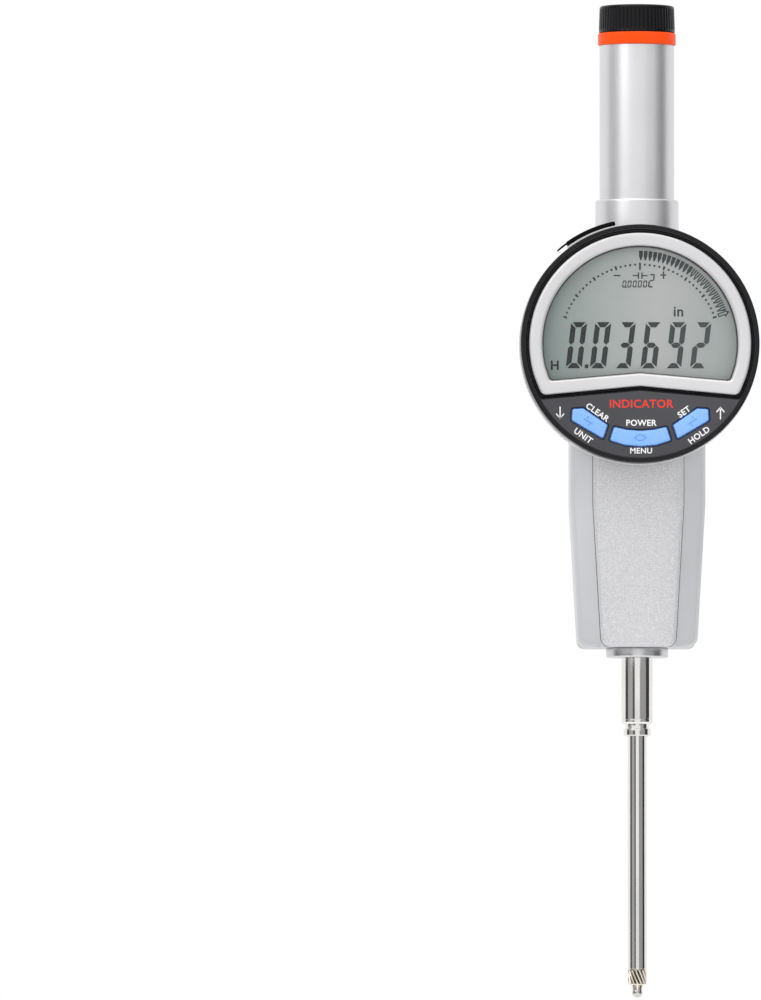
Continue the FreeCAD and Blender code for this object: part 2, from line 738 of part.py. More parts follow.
def top_parts():
    collar = new_body("tube_collar")
    turned(collar, "XZ_Plane", [
        ("tube_bore", "body_top - wall"),
        ("collar_spigot", "body_top - wall"),
        ("collar_spigot", "body_top"),
        ("collar_radius", "body_top"),
        ("collar_radius", "collar_top"),
        ("tube_radius", "collar_top"),
        ("tube_radius", "tube_low"),
        ("tube_bore", "tube_low"),
    ])
    shoulder = edges_where(collar, lambda e: is_arc(e, size("collar_radius"))
                           and abs(e.CenterOfMass.z - size("collar_top")) < 1e-4)
    dress(collar, "Fillet", shoulder, "collar_round")
    tube = new_body("upper_tube")
    turned(tube, "XZ_Plane", [
        ("tube_bore", "tube_low"),
        ("tube_radius", "tube_low"),
        ("tube_radius", "tube_top"),
        ("tube_neck", "tube_top"),
        ("tube_neck", "neck_high"),
        ("tube_bore", "neck_high"),
    ])
    band = new_body("colour_ring")
    turned(band, "XZ_Plane", [
        ("tube_neck", "tube_top"),
        ("ring_radius - 0.25", "tube_top"),
        ("ring_radius", "tube_top + 0.25"),
        ("ring_radius", "ring_top - 0.25"),
        ("ring_radius - 0.25", "ring_top"),
        ("tube_neck", "ring_top"),
    ])
    lid = new_body("top_cap")
    turned(lid, "XZ_Plane", [
        ("tube_neck + 0.06", "ring_top + 0.05"),
        ("lid_low_radius", "ring_top + 0.05"),
        ("lid_high_radius", "lid_top - lid_bevel"),
        ("lid_high_radius - lid_bevel", "lid_top"),
        ("0", "lid_top"),
        ("0", "lid_roof"),
        ("tube_neck + 0.06", "lid_roof"),
    ])


# ---------------------------------------------------------------- measuring mechanism

def carriage():
    block = new_body("scale_clamp")

    def plan(sketch):
        polygon(sketch, [
            ("block_half", "holder_rear"),
            ("block_half", "block_rear"),
            ("-1 * block_half", "block_rear"),
            ("-1 * block_half", "rail_y + 1.9"),
            ("arm_reach", "rail_y + 1.9"),
            ("arm_reach", "rail_y - 1.9"),
            ("-1 * block_half", "rail_y - 1.9"),
            ("-1 * block_half", "holder_rear"),
        ])
        circle(sketch, "spindle_radius")
        circle(sketch, "rail_radius + running_gap", "rail_x", "rail_y")
    prism(block, "XY_Plane", "block_low", "block_high", plan)

    holder = new_body("scale_holder")
    prism(holder, "XZ_Plane", "holder_front", "holder_rear", lambda s: polygon(s, [
        ("-1 * holder_half", "block_low"),
        ("holder_half", "block_low"),
        ("holder_half", "lug_low"),
        ("lug_reach", "lug_low"),
        ("lug_reach", "lug_high"),
        ("holder_half", "lug_high"),
        ("holder_half", "holder_top"),
        ("-1 * holder_half", "holder_top"),
    ]))
    pieces.append(box("scale_glass", ("-1 * scale_half", "scale_front", "block_low + scale_margin"),
                      ("scale_half", "holder_front", "holder_top - scale_margin")))
    rear = size("block_rear")
    places = [facing(0, rear + 1.0, size("block_low") + rise, Vector(0, -1, 0)) for rise in (3, 9)]
    for place in places:
        prism(block, "XZ_Plane", "spindle_radius - 1", "block_rear + 1",
              lambda s: circle(s, "case_screw", "0", f"{place.Base.z}"), cut=True)
    screw_group("clamp_screws", places, "case_screw", "block_rear - spindle_radius", "1.4", "1")


def disc(radius, start, end, x="0", z="0"):
    """A cylinder along +Y between two depths."""
    part = document.addObject("Part::Cylinder", "Disc")
    drive(part, "Radius", radius)
    drive(part, "Height", f"({end}) - ({start})")
    part.Placement = FreeCAD.Placement(Vector(0, 0, 0), Rotation(Vector(1, 0, 0), -90))
    finish_place(part, x, start, z)
    return part


def post(label, start, end, height):
    pin = disc("post_radius", start, end, "spring_x", height)
    pin.Label = label
    pieces.append(pin)


def return_spring():
    """A close-wound coil with a ring at each end, hung between the post and the pin."""
    centre = Vector(size("spring_x"), size("spring_y"), 0)
    low_ring, high_ring = size("post_height"), size("pin_height")
    reach = size("hook_radius") + 0.9
    low, high = low_ring + reach, high_ring - reach
    coil = Part.makeHelix(size("spring_pitch"), high - low, size("spring_coil"))
    section = Part.Wire(Part.makeCircle(size("spring_wire"), Vector(size("spring_coil"), 0, 0), DEPTH))
    turns = Part.Wire(coil.Edges).makePipeShell([section], True, True)
    turns.translate(Vector(0, 0, low))
    shape = turns
    for ring_height, end, side in ((low_ring, low, 1), (high_ring, high, -1)):
        loop = Part.makeTorus(size("hook_radius"), size("spring_wire"), Vector(0, 0, ring_height), DEPTH)
        angle = 0.0 if side == 1 else 2 * math.pi * (high - low) / size("spring_pitch")
        outer = Vector(math.cos(angle), math.sin(angle), 0) * size("spring_coil")
        foot = Vector(outer.x, outer.y, end)
        tip = Vector(0, 0, ring_height + side * size("hook_radius"))
        link = Part.makeCylinder(size("spring_wire"), (tip - foot).Length, foot, tip - foot)
        bead = Part.makeSphere(size("spring_wire"), foot)
        shape = shape.fuse([loop, link, bead])
    spring = document.addObject("Part::Feature", "Spring")
    spring.Shape = shape
    spring.Placement = FreeCAD.Placement(centre, Rotation())
    spring.Label = "return_spring"
    pieces.append(spring)


def guides():
    bracket = new_body("guide_bracket")

    def plan(sketch):
        rectangle(sketch, "bracket_left", "bracket_right", "bracket_front", "bracket_rear")

    prism(bracket, "XY_Plane", "bracket_low", "bracket_high", plan)
    prism(bracket, "XY_Plane", "bracket_low - 1", "bracket_high + 1",
          lambda s: circle(s, "upper_bush"), cut=True)
    prism(bracket, "XY_Plane", "bracket_low - 1", "bracket_low + 2",
          lambda s: circle(s, "rail_radius", "rail_x", "rail_y"), cut=True)
    for z in BRACKET_SCREWS:
        prism(bracket, "XZ_Plane", "bracket_front - 1", "bracket_rear + 1",
              lambda s: circle(s, "case_screw", BRACKET_SCREW_X, z), cut=True)
    ring("upper_bush", "XZ_Plane", "spindle_radius + running_gap", "upper_bush",
         "bracket_low", "bracket_high")
    ring("upper_bumper", "XZ_Plane", "spindle_radius + 0.1", "bumper_radius",
         "bumper_low", "bumper_high")
    ring("lower_bumper", "XZ_Plane", "spindle_radius + 0.1", "bumper_radius",
         "stem_high", "block_low - 0.1")
    rail = document.addObject("Part::Cylinder", "Rail")
    drive(rail, "Radius", "rail_radius")
    drive(rail, "Height", "bracket_low + 2 - (flange_high + floor_thick - 1.2)")
    finish_place(rail, "rail_x", "rail_y", "flange_high + floor_thick - 1.2")
    rail.Label = "guide_rail"
    pieces.append(rail)
    rises = (size("bracket_low") + 2.2, size("bracket_high") - 2.2)
    places = [facing(float(BRACKET_SCREW_X), size("bracket_rear") + 1, z, Vector(0, -1, 0)) for z in rises]
    screw_group("bracket_screws", places, "case_screw", "bracket_rear - bracket_front + 3", "1.4", "1")


def detector():
    board = new_body("detector_board")
    prism(board, "XZ_Plane", "board_front", "board_rear",
          lambda s: rectangle(s, "-1 * board_half", "board_half", "board_low", "board_high"))
    for x in BOARD_SCREW_X:
        prism(board, "XZ_Plane", "board_front - 1", "board_rear + 1",
              lambda s: circle(s, "case_screw", x, "board_low + 2.5"), cut=True)
    pieces.append(box("reading_head", ("-1 * reader_half", "board_rear", "reader_low"),
                      ("reader_half", "reader_rear", "reader_high")))
    places = [facing(float(x), size("board_rear") + 0.7, size("board_low") + 2.5, Vector(0, -1, 0))
              for x in BOARD_SCREW_X]
    screw_group("board_screws", places, "case_screw", "3.2", "1.2", "0.7")
    ribbon = new_body("flex_ribbon")
    prism(ribbon, "YZ_Plane", "-3", "3", lambda s: polygon(s, [
        ("board_rear", "reader_high + 0.1"),
        ("board_rear + 0.2", "reader_high + 0.1"),
        ("board_rear + 0.2", "head_height + 0.2"),
        ("main_rear + 0.5", "head_height + 0.2"),
        ("main_rear + 0.5", "head_height"),
        ("board_rear", "head_height"),
    ]))


# ---------------------------------------------------------------- head

CASE_SCREW_ANGLES = (45, 135, 208, 332)
GRIP_FIRST = 143.0
GRIP_PITCH = 28.8
GRIP_COUNT = 11
GRIP_TEETH = 5
GRIP_TOOTH_PITCH = 2.2
TRAY_ANGLE = 22.0


def on_head(piece):
    finish_place(piece, z="head_height")
    return piece


def case_screw_points():
    return [(f"case_screw_circle * {math.cos(math.radians(a)):.5f}",
             f"case_screw_circle * {math.sin(math.radians(a)):.5f}") for a in CASE_SCREW_ANGLES]


def polar(radius, angle):
    return Vector(radius * math.cos(math.radians(angle)), radius * math.sin(math.radians(angle)), 0)


def grip_notches(sketch):
    """Short V notches in groups round the rim, left out where the battery tray is."""
    rim = size("case_radius")
    for group in range(GRIP_COUNT):
        centre = (GRIP_FIRST + group * GRIP_PITCH) % 360
        if min(centre, 360 - centre) < TRAY_ANGLE:
            continue
        for tooth in range(GRIP_TEETH):
            angle = centre + (tooth - (GRIP_TEETH - 1) / 2) * GRIP_TOOTH_PITCH
            corners = [polar(rim - size("grip_depth"), angle), polar(rim + 0.3, angle + 0.9),
                       polar(rim + 0.3, angle - 0.9)]
            for i in range(3):
                sketch.addGeometry(Part.LineSegment(corners[i], corners[(i + 1) % 3]), False)


def head_case():
    case = on_head(new_body("head_case"))
    prism(case, "XZ_Plane", "case_rim", "head_back", lambda s: circle(s, "case_radius"))
    rear_edge = edges_where(case, lambda e: is_arc(e, size("case_radius"), size("head_back")))
    dress(case, "Fillet", rear_edge, "case_round")
    prism(case, "XZ_Plane", "case_rim - 1", "case_floor", lambda s: circle(s, "case_bore"), cut=True)
    for x, z in case_screw_points():
        prism(case, "XZ_Plane", "case_rim", "case_floor + 0.2", lambda s: circle(s, "case_pillar", x, z))
        prism(case, "XZ_Plane", "case_rim - 1", "head_back + 1",
              lambda s: circle(s, "case_screw", x, z), cut=True)
        prism(case, "XZ_Plane", "head_back - 1", "head_back + 1",
              lambda s: circle(s, "case_screw_head + 0.1", x, z), cut=True)
    prism(case, "XZ_Plane", "case_floor - 1", "head_back + 1", lambda s: circle(s, "hub_hole"), cut=True)
    prism(case, "XZ_Plane", "case_floor - 1", "head_back + 1",
          lambda s: circle(s, "stop_pin", "stop_radius", "0"), cut=True)
    prism(case, "XZ_Plane", "cell_front - 0.15", "tray_rear + 0.15",
          lambda s: rectangle(s, "case_bore - 4", "case_radius + 2",
                              "-1 * tray_half - 0.15", "tray_half + 0.15"), cut=True)
    prism(case, "XZ_Plane", "plug_front - port_gap", "plug_rear + port_gap",
          lambda s: rectangle(s, "case_bore - 2", "case_radius + 2",
                              "-1 * plug_half - port_gap", "plug_half + port_gap"),
          cut=True, turn=size("port_angle"))
    prism(case, "XZ_Plane", "grip_front", "grip_rear", grip_notches, cut=True)


def swivel():
    hub = on_head(new_body("swivel_hub"))
    turned(hub, "XY_Plane", [
        ("hub_bore", "boss_front"),
        ("hub_radius", "boss_front"),
        ("hub_radius", "hub_step"),
        ("hub_flange", "hub_step"),
        ("hub_flange", "hub_front"),
        ("hub_bore", "hub_front"),
    ])
    for x, z in HUB_SCREWS:
        prism(hub, "XZ_Plane", "hub_front - 1", "boss_front + 1", lambda s: circle(s, "case_screw", x, z),
              cut=True)
        prism(hub, "XZ_Plane", "hub_front - 1", "hub_front + 1",
              lambda s: circle(s, "case_screw_head + 0.1", x, z), cut=True)
    places = [facing(float(x), size("hub_front") + 0.1, size("head_height") + float(z), DEPTH)
              for x, z in HUB_SCREWS]
    screw_group("hub_screws", places, "case_screw", "4.4", "case_screw_head", "0.9")
    on_head(ring("friction_washer", "XY_Plane", "hub_radius + 0.3", "hub_flange - 0.1",
                 "washer_front", "washer_rear"))
    pin = disc("stop_pin", "case_floor", "stop_end", "stop_radius", "head_height")
    pin.Label = "stop_pin"
    pieces.append(pin)


def bezel():
    shell = on_head(new_body("bezel"))
    prism(shell, "XZ_Plane", "bezel_front", "case_rim", lambda s: circle(s, "bezel_radius"))
    front_edge = edges_where(shell, lambda e: is_arc(e, size("bezel_radius"), size("bezel_front")))
    dress(shell, "Fillet", front_edge, "bezel_round")
    prism(shell, "XZ_Plane", "bezel_front - 1", "keypad_front",
          lambda s: circle(s, "bezel_radius - rim_width"), cut=True)
    prism(shell, "XZ_Plane", "bezel_shelf", "case_rim + 1", lambda s: circle(s, "bezel_bore"), cut=True)
    prism(shell, "XZ_Plane", "case_rim - 0.4", "case_rim + 1",
          lambda s: circle(s, "bezel_bore + 0.9"), cut=True)
    for x, z in case_screw_points():
        prism(shell, "XZ_Plane", "bezel_shelf", "case_rim", lambda s: circle(s, "case_pillar", x, z))
        prism(shell, "XZ_Plane", "bezel_shelf + 0.5", "case_rim + 1",
              lambda s: circle(s, "case_screw", x, z), cut=True)
    prism(shell, "XZ_Plane", "bezel_front - 1", "frame_well",
          lambda s: display_outline(s, "well_radius", "well_corner", "well_peak"), cut=True)
    prism(shell, "XZ_Plane", "frame_well - 1", "bezel_shelf + 1",
          lambda s: display_outline(s, "glass_radius - 0.2", "glass_corner + 0.3", "glass_peak + 0.3"),
          cut=True)
    for outline in KEYS.values():
        prism(shell, "XZ_Plane", "bezel_front - 1", "bezel_shelf + 1",
              lambda s: plain_polygon(s, outset(outline, size("key_gap"))), cut=True)
    on_head(ring("case_seal", "XY_Plane", "bezel_bore + 0.4", "bezel_bore + 0.8",
                 "case_rim - 0.4", "case_rim"))
    places = [facing(point.x, size("head_back") - 0.1, size("head_height") + point.y, Vector(0, -1, 0))
              for point in (polar(size("case_screw_circle"), a) for a in CASE_SCREW_ANGLES)]
    screw_group("case_screws", places, "case_screw", "10", "case_screw_head", "0.9")


def window_pane(label, radius, corner, peak, front, rear):
    pane = on_head(new_body(label))
    prism(pane, "XZ_Plane", front, rear, lambda s: display_outline(s, radius, corner, peak))
    corners = edges_where(pane, lambda e: runs_along(e, DEPTH) and abs(e.CenterOfMass.x) > 1)
    dress(pane, "Fillet", corners, "1.2")
    return pane


def display():
    frame = on_head(new_body("display_frame"))
    prism(frame, "XZ_Plane", "frame_front", "frame_well",
          lambda s: display_outline(s, "frame_radius", "frame_corner", "frame_peak"))
    corners = edges_where(frame, lambda e: runs_along(e, DEPTH) and abs(e.CenterOfMass.x) > 1)
    dress(frame, "Fillet", corners, "2.0")
    prism(frame, "XZ_Plane", "frame_front - 1", "frame_well + 1",
          lambda s: display_outline(s, "view_radius", "view_corner", "view_peak"), cut=True)
    inner = edges_where(frame, lambda e: runs_along(e, DEPTH)
                        and 20 < abs(e.CenterOfMass.x) < size("view_radius")
                        and e.CenterOfMass.z > size("view_corner") - 0.5)
    dress(frame, "Fillet", inner, "1.2")
    face = edges_where(frame, lambda e: abs(e.CenterOfMass.y - size("frame_front")) < 1e-6)
    dress(frame, "Chamfer", face, "frame_bevel")
    prism(frame, "XZ_Plane", "frame_step", "frame_well + 1",
          lambda s: display_outline(s, "lens_radius + 0.1", "lens_corner - 0.1", "lens_peak - 0.1"),
          cut=True)
    window_pane("lens", "lens_radius", "lens_corner", "lens_peak", "frame_step", "frame_well")
    window_pane("display_glass", "glass_radius", "glass_corner", "glass_peak", "glass_front", "glass_rear")
    carrier = window_pane("glass_carrier", "glass_radius", "glass_corner", "glass_peak",
                          "glass_rear", "carrier_rear")
    prism(carrier, "XZ_Plane", "glass_rear - 1", "carrier_rear + 1",
          lambda s: display_outline(s, "glass_radius - carrier_width", "glass_corner + carrier_width",
                                    "glass_peak + carrier_width"), cut=True)
    strip = box("contact_strip", ("-16", "glass_rear", "head_height + glass_peak + 2.3"),
                ("16", "main_front", "head_height + glass_peak + 3.5"))
    pieces.append(strip)


# Key outlines about the head's axis; the left key is the mirror image of the right one.
SIDE_KEY = [(8.35, -20.7), (9.45, -24.05), (17.3, -19.45), (17.15, -16.7), (14.5, -16.5)]
KEYS = {
    "key_left": [(-x, z) for x, z in reversed(SIDE_KEY)],
    "key_centre": [(-6.6, -21.2), (-7.65, -24.5), (-4.0, -25.65), (0.0, -26.0), (4.0, -25.65),
                   (7.65, -24.5), (6.6, -21.2), (3.4, -21.95), (0.0, -22.2), (-3.4, -21.95)],
    "key_right": SIDE_KEY,
}


def outset(points, distance):
    """Moves each side of an anticlockwise outline outwards."""
    moved = []
    count = len(points)
    for i in range(count):
        before, here, after = (Vector(*points[(i + k) % count], 0) for k in (-1, 0, 1))
        first = (here - before).normalize()
        second = (after - here).normalize()
        normal_a = Vector(first.y, -first.x, 0)
        normal_b = Vector(second.y, -second.x, 0)
        corner = here + (normal_a + normal_b) * (distance / (1 + normal_a.dot(normal_b)))
        moved.append((corner.x, corner.y))
    return moved


def plain_polygon(sketch, points):
    count = len(points)
    for i in range(count):
        start = Vector(*points[i], 0)
        end = Vector(*points[(i + 1) % count], 0)
        sketch.addGeometry(Part.LineSegment(start, end), False)


def keys():
    for label, outline in KEYS.items():
        key = on_head(new_body(label))
        prism(key, "XZ_Plane", "key_front", "key_flange_front + 0.1", lambda s: plain_polygon(s, outline))
        upright = edges_where(key, lambda e: runs_along(e, DEPTH))
        dress(key, "Fillet", upright, "key_round")
        face = edges_where(key, lambda e: abs(e.CenterOfMass.y - size("key_front")) < 1e-6)
        dress(key, "Fillet", face, "0.3")
        prism(key, "XZ_Plane", "key_flange_front", "key_flange_rear",
              lambda s: plain_polygon(s, outset(outline, size("key_lip"))))


def keypad():
    mat = on_head(new_body("keypad_mat"))
    prism(mat, "XZ_Plane", "mat_front", "mat_rear", lambda s: polygon(s, mirrored([
        ("0", "-27.2"),
        ("7.5", "-26.1"),
        ("17.4", "-20.2"),
        ("18.6", "-15.9"),
        ("0", "-15.9"),
    ])))


def blocks(label, corners):
    """Several plain blocks in one node, each between two corners about the head's axis."""
    group = document.addObject("Part::Compound", "Group_" + label)
    made = []
    for index, (low, high) in enumerate(corners):
        made.append(box(f"{label}_{index}", low, high))
    group.Links = made
    finish_place(group, z="head_height")
    group.Label = label
    pieces.append(group)


def boards():
    board = on_head(new_body("main_board"))
    prism(board, "XZ_Plane", "main_front", "main_rear", lambda s: circle(s, "main_radius"))
    blocks("board_chips", [
        (("-16", "main_rear", "-5"), ("-6", "main_rear + 1.2", "5")),
        (("-14", "main_rear", "-14"), ("-8", "main_rear + 1", "-9")),
        (("-21", "main_rear", "3"), ("-18", "main_rear + 1.5", "10")),
        (("4", "main_rear", "-19"), ("9", "main_rear + 1", "-14")),
    ])
    blocks("key_switches", [
        ((f"{x} - 2", "mat_rear + 0.1", f"{z} - 1.5"), (f"{x} + 2", "main_front", f"{z} + 1.5"))
        for x, z in (("-12.3", "-19.6"), ("0", "-23.3"), ("12.3", "-19.6"))
    ])


def battery_parts():
    cell = disc("cell_radius", "cell_front", "cell_rear", "cell_x", "head_height")
    cell.Label = "battery"
    pieces.append(cell)
    blank = document.addObject("Part::Common", "TrayBlank")
    blank.Base = box("tray_block", ("tray_left", "cell_front", "-1 * tray_half"),
                     ("tray_radius + 1", "tray_rear", "tray_half"))
    blank.Tool = disc("tray_radius", "cell_front - 1", "tray_rear + 1")
    tray = document.addObject("Part::Cut", "Tray")
    tray.Base = blank
    tray.Tool = disc("cell_radius", "cell_front - 1", "cell_rear", "cell_x")
    tray.Label = "battery_tray"
    finish_place(tray, z="head_height")
    pieces.append(tray)
    blocks("battery_contacts", [
        (("cell_x - 4", "main_rear", "-1.5"), ("cell_x + 4", "cell_front - 0.06", "1.5")),
        (("cell_x - 1.5", "main_rear", "6"), ("cell_x + 1.5", "cell_front - 0.06", "9")),
    ])


def data_port():
    turn = Rotation(DEPTH, -size("port_angle"))
    socket = new_body("data_socket")
    prism(socket, "XZ_Plane", "cell_front - 0.3", "tray_rear",
          lambda s: rectangle(s, "socket_low", "socket_high", "-1 * socket_half", "socket_half"))

    cover = new_body("port_cover")
    turned(cover, "XY_Plane", [("cover_low", "strip_front"), ("cover_high", "strip_front"),
                               ("cover_high", "strip_rear"), ("cover_low", "strip_rear")],
           sweep="strip_sweep")
    middle = "(strip_front + strip_rear) / 2"
    tab = turned(cover, "XY_Plane", [("tab_low", middle + " - 1.3"), ("tab_high", middle + " - 1.3"),
                                     ("tab_high", middle + " + 1.3"), ("tab_low", middle + " + 1.3")],
                 sweep="strip_sweep / 2 + tab_sweep", centred=False)
    tab.Reversed = True
    prism(cover, "XZ_Plane", "plug_front", "plug_rear",
          lambda s: rectangle(s, "plug_low", "cover_low + 0.5", "-1 * plug_half", "plug_half"))
    for piece in (socket, cover):
        piece.Placement = FreeCAD.Placement(Vector(0, 0, size("head_height")), turn)


# ---------------------------------------------------------------- the whole indicator

contact_point()
contact_ball()
spindle()
stem_parts()
body_casting()
rear_cover()
top_parts()
carriage()
post("spring_pin", "holder_rear", "spring_y + 0.8", "pin_height")
post("spring_post", "field_front + 0.8", "spring_y + 0.8", "post_height")
return_spring()
guides()
detector()
swivel()
head_case()
bezel()
display()
keys()
keypad()
boards()
battery_parts()
data_port()
document.recompute()

failed = [f"{thing.Name} ({thing.getParentGeoFeatureGroup().Label})" for thing in document.Objects
          if "Invalid" in thing.State or "Error" in thing.State]
if failed:
    raise RuntimeError("failed objects: " + ", ".join(failed))

os.makedirs("parts", exist_ok=True)
for piece in pieces:
    shape = piece.Shape
    if shape.isNull() or not shape.isValid() or not shape.Solids:
        raise RuntimeError(f"{piece.Label} has no valid solid")
    shape.exportStep(f"parts/{piece.Label}.step")
    print(f"{piece.Label:18} {len(shape.Solids)} solid(s) {shape.Volume:10.2f} mm3")
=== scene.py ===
import json
import math

import bmesh
import bpy
from mathutils import Matrix, Vector


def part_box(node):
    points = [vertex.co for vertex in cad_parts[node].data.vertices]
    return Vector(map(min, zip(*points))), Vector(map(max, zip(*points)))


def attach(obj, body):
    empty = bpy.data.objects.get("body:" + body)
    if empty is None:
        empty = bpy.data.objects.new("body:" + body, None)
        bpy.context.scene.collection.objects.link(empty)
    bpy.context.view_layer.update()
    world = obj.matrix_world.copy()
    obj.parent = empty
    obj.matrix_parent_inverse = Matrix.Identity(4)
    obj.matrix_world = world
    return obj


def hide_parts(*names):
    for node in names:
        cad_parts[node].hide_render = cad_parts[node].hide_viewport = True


# Electronic long-stroke indicator: camera, studio, materials and the visible pieces.
# Lengths are in metres. MM turns millimetres into metres.

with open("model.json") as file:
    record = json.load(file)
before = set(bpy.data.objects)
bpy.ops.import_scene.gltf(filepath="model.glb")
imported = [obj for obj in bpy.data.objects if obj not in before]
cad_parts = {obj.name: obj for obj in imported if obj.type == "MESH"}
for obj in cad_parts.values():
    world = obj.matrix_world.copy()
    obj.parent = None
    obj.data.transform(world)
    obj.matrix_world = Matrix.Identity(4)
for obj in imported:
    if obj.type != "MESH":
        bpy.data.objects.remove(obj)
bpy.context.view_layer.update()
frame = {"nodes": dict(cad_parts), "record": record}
record = frame["record"]
nodes = frame["nodes"]

MM = 0.001
FULL_TURN = 2 * math.pi

SLOT_OF = {part["node"]: part["material_slot"] for part in record["subparts"]}
BODY_OF = {node: body for body, members in record["behaviour"]["bodies"].items() for node in members}
HEAD_HEIGHT = [j for j in record["behaviour"]["joints"] if j["name"] == "head_swivel"][0]["pos_m"][2]


def low(node):
    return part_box(node)[0]


def high(node):
    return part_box(node)[1]


def radius_of(node):
    """Outer radius of a round node about the spindle's axis."""
    return high(node).x


# ---------------------------------------------------------------- camera

VIEW_AZIMUTH = -0.95
VIEW_ELEVATION = -2.2
CAMERA_DISTANCE = 5.0
FIELD_HEIGHT = 254.5 * MM
PICTURE_CENTRE_HEIGHT = 48.0 * MM
AXIS_RIGHT_OF_CENTRE = 65.3 * MM
SENSOR_HEIGHT = 24.0


def make_camera():
    data = bpy.data.cameras.new("camera")
    data.sensor_fit = "VERTICAL"
    data.sensor_height = SENSOR_HEIGHT
    data.lens = SENSOR_HEIGHT * CAMERA_DISTANCE / FIELD_HEIGHT
    data.clip_end = 50.0
    camera = bpy.data.objects.new("camera", data)
    azimuth, elevation = math.radians(VIEW_AZIMUTH), math.radians(VIEW_ELEVATION)
    outward = Vector((math.sin(azimuth) * math.cos(elevation), -math.cos(azimuth) * math.cos(elevation),
                      math.sin(elevation)))
    sideways = Vector((math.cos(azimuth), math.sin(azimuth), 0))
    target = Vector((0, 0, PICTURE_CENTRE_HEIGHT)) - sideways * AXIS_RIGHT_OF_CENTRE
    camera.location = target + outward * CAMERA_DISTANCE
    camera.rotation_euler = (-outward).to_track_quat("-Z", "Y").to_euler()
    bpy.context.scene.collection.objects.link(camera)
    bpy.context.scene.camera = camera


# ---------------------------------------------------------------- node helpers

def link(tree, source, target):
    tree.links.new(source, target)


def new_material(name, color, metallic=0.0, roughness=0.5, **extra):
    """A material with one Principled shader; extra names its sockets with _ for spaces."""
    material = bpy.data.materials.new(name)
    material.use_nodes = True
    shader = material.node_tree.nodes["Principled BSDF"]
    shader.inputs["Base Color"].default_value = (*color, 1.0)
    shader.inputs["Metallic"].default_value = metallic
    shader.inputs["Roughness"].default_value = roughness
    for key, value in extra.items():
        shader.inputs[key.replace("_", " ")].default_value = value
    return material, material.node_tree, shader


def coordinates(tree, stretch=(1, 1, 1)):
    """Object coordinates, in metres, stretched along the axes."""
    source = tree.nodes.new("ShaderNodeTexCoord")
    mapping = tree.nodes.new("ShaderNodeMapping")
    mapping.inputs["Scale"].default_value = stretch
    link(tree, source.outputs["Object"], mapping.inputs["Vector"])
    return mapping.outputs["Vector"]


def noise(tree, vector, scale, detail=3.0, roughness=0.55):
    node = tree.nodes.new("ShaderNodeTexNoise")
    node.inputs["Scale"].default_value = scale
    node.inputs["Detail"].default_value = detail
    node.inputs["Roughness"].default_value = roughness
    link(tree, vector, node.inputs["Vector"])
    return node.outputs["Fac"]


def cells(tree, vector, scale, feature="F1"):
    node = tree.nodes.new("ShaderNodeTexVoronoi")
    node.feature = feature
    node.inputs["Scale"].default_value = scale
    link(tree, vector, node.inputs["Vector"])
    return node.outputs["Distance"]


def spread(tree, value, out_low, out_high, in_low=0.3, in_high=0.7):
    """Maps a value from one range to another, clamped."""
    node = tree.nodes.new("ShaderNodeMapRange")
    for key, number in (("From Min", in_low), ("From Max", in_high), ("To Min", out_low),
                        ("To Max", out_high)):
        node.inputs[key].default_value = number
    link(tree, value, node.inputs["Value"])
    return node.outputs["Result"]


def tint(tree, value, stops):
    """Colour ramp over a value; stops are (position, colour)."""
    node = tree.nodes.new("ShaderNodeValToRGB")
    ramp = node.color_ramp
    while len(ramp.elements) < len(stops):
        ramp.elements.new(0.5)
    for element, (position, color) in zip(ramp.elements, stops):
        element.position = position
        element.color = (*color, 1.0)
    link(tree, value, node.inputs["Fac"])
    return node.outputs["Color"]


def bump(tree, shader, height, strength, distance):
    node = tree.nodes.new("ShaderNodeBump")
    node.inputs["Strength"].default_value = strength
    node.inputs["Distance"].default_value = distance
    link(tree, height, node.inputs["Height"])
    link(tree, node.outputs["Normal"], shader.inputs["Normal"])


def shade(color, factor):
    return tuple(min(1.0, channel * factor) for channel in color)


def grained(name, color, grain, rough_low, rough_high, metallic=0.0, variation=0.08, strength=0.25,
            depth=0.00002, stretch=(1, 1, 1), **extra):
    """A surface with fine grain in its colour, gloss and relief."""
    material, tree, shader = new_material(name, color, metallic, rough_low, **extra)
    fine = noise(tree, coordinates(tree, stretch), grain)
    broad = noise(tree, coordinates(tree), 45.0, 2.0)
    link(tree, spread(tree, fine, rough_low, rough_high), shader.inputs["Roughness"])
    stops = [(0.3, shade(color, 1 - variation)), (0.7, shade(color, 1 + variation))]
    link(tree, tint(tree, broad, stops), shader.inputs["Base Color"])
    bump(tree, shader, fine, strength, depth)
    return material


# ---------------------------------------------------------------- materials, one per slot

def pebbled_silver():
    """Fine pebbled silver paint: bright flakes in a soft grey lacquer."""
    color = (0.60, 0.60, 0.615)
    material, tree, shader = new_material("cast_silver", color, 0.35, 0.45)
    place = coordinates(tree)
    pebbles = cells(tree, place, 2600.0)
    flakes = noise(tree, place, 4300.0, 3.0, 0.7)
    stops = [(0.34, shade(color, 0.80)), (0.5, color), (0.62, shade(color, 1.18)), (0.72, (0.95, 0.95, 0.96))]
    link(tree, tint(tree, flakes, stops), shader.inputs["Base Color"])
    link(tree, spread(tree, flakes, 0.55, 0.28), shader.inputs["Roughness"])
    bump(tree, shader, pebbles, 0.4, 0.00006)
    return material


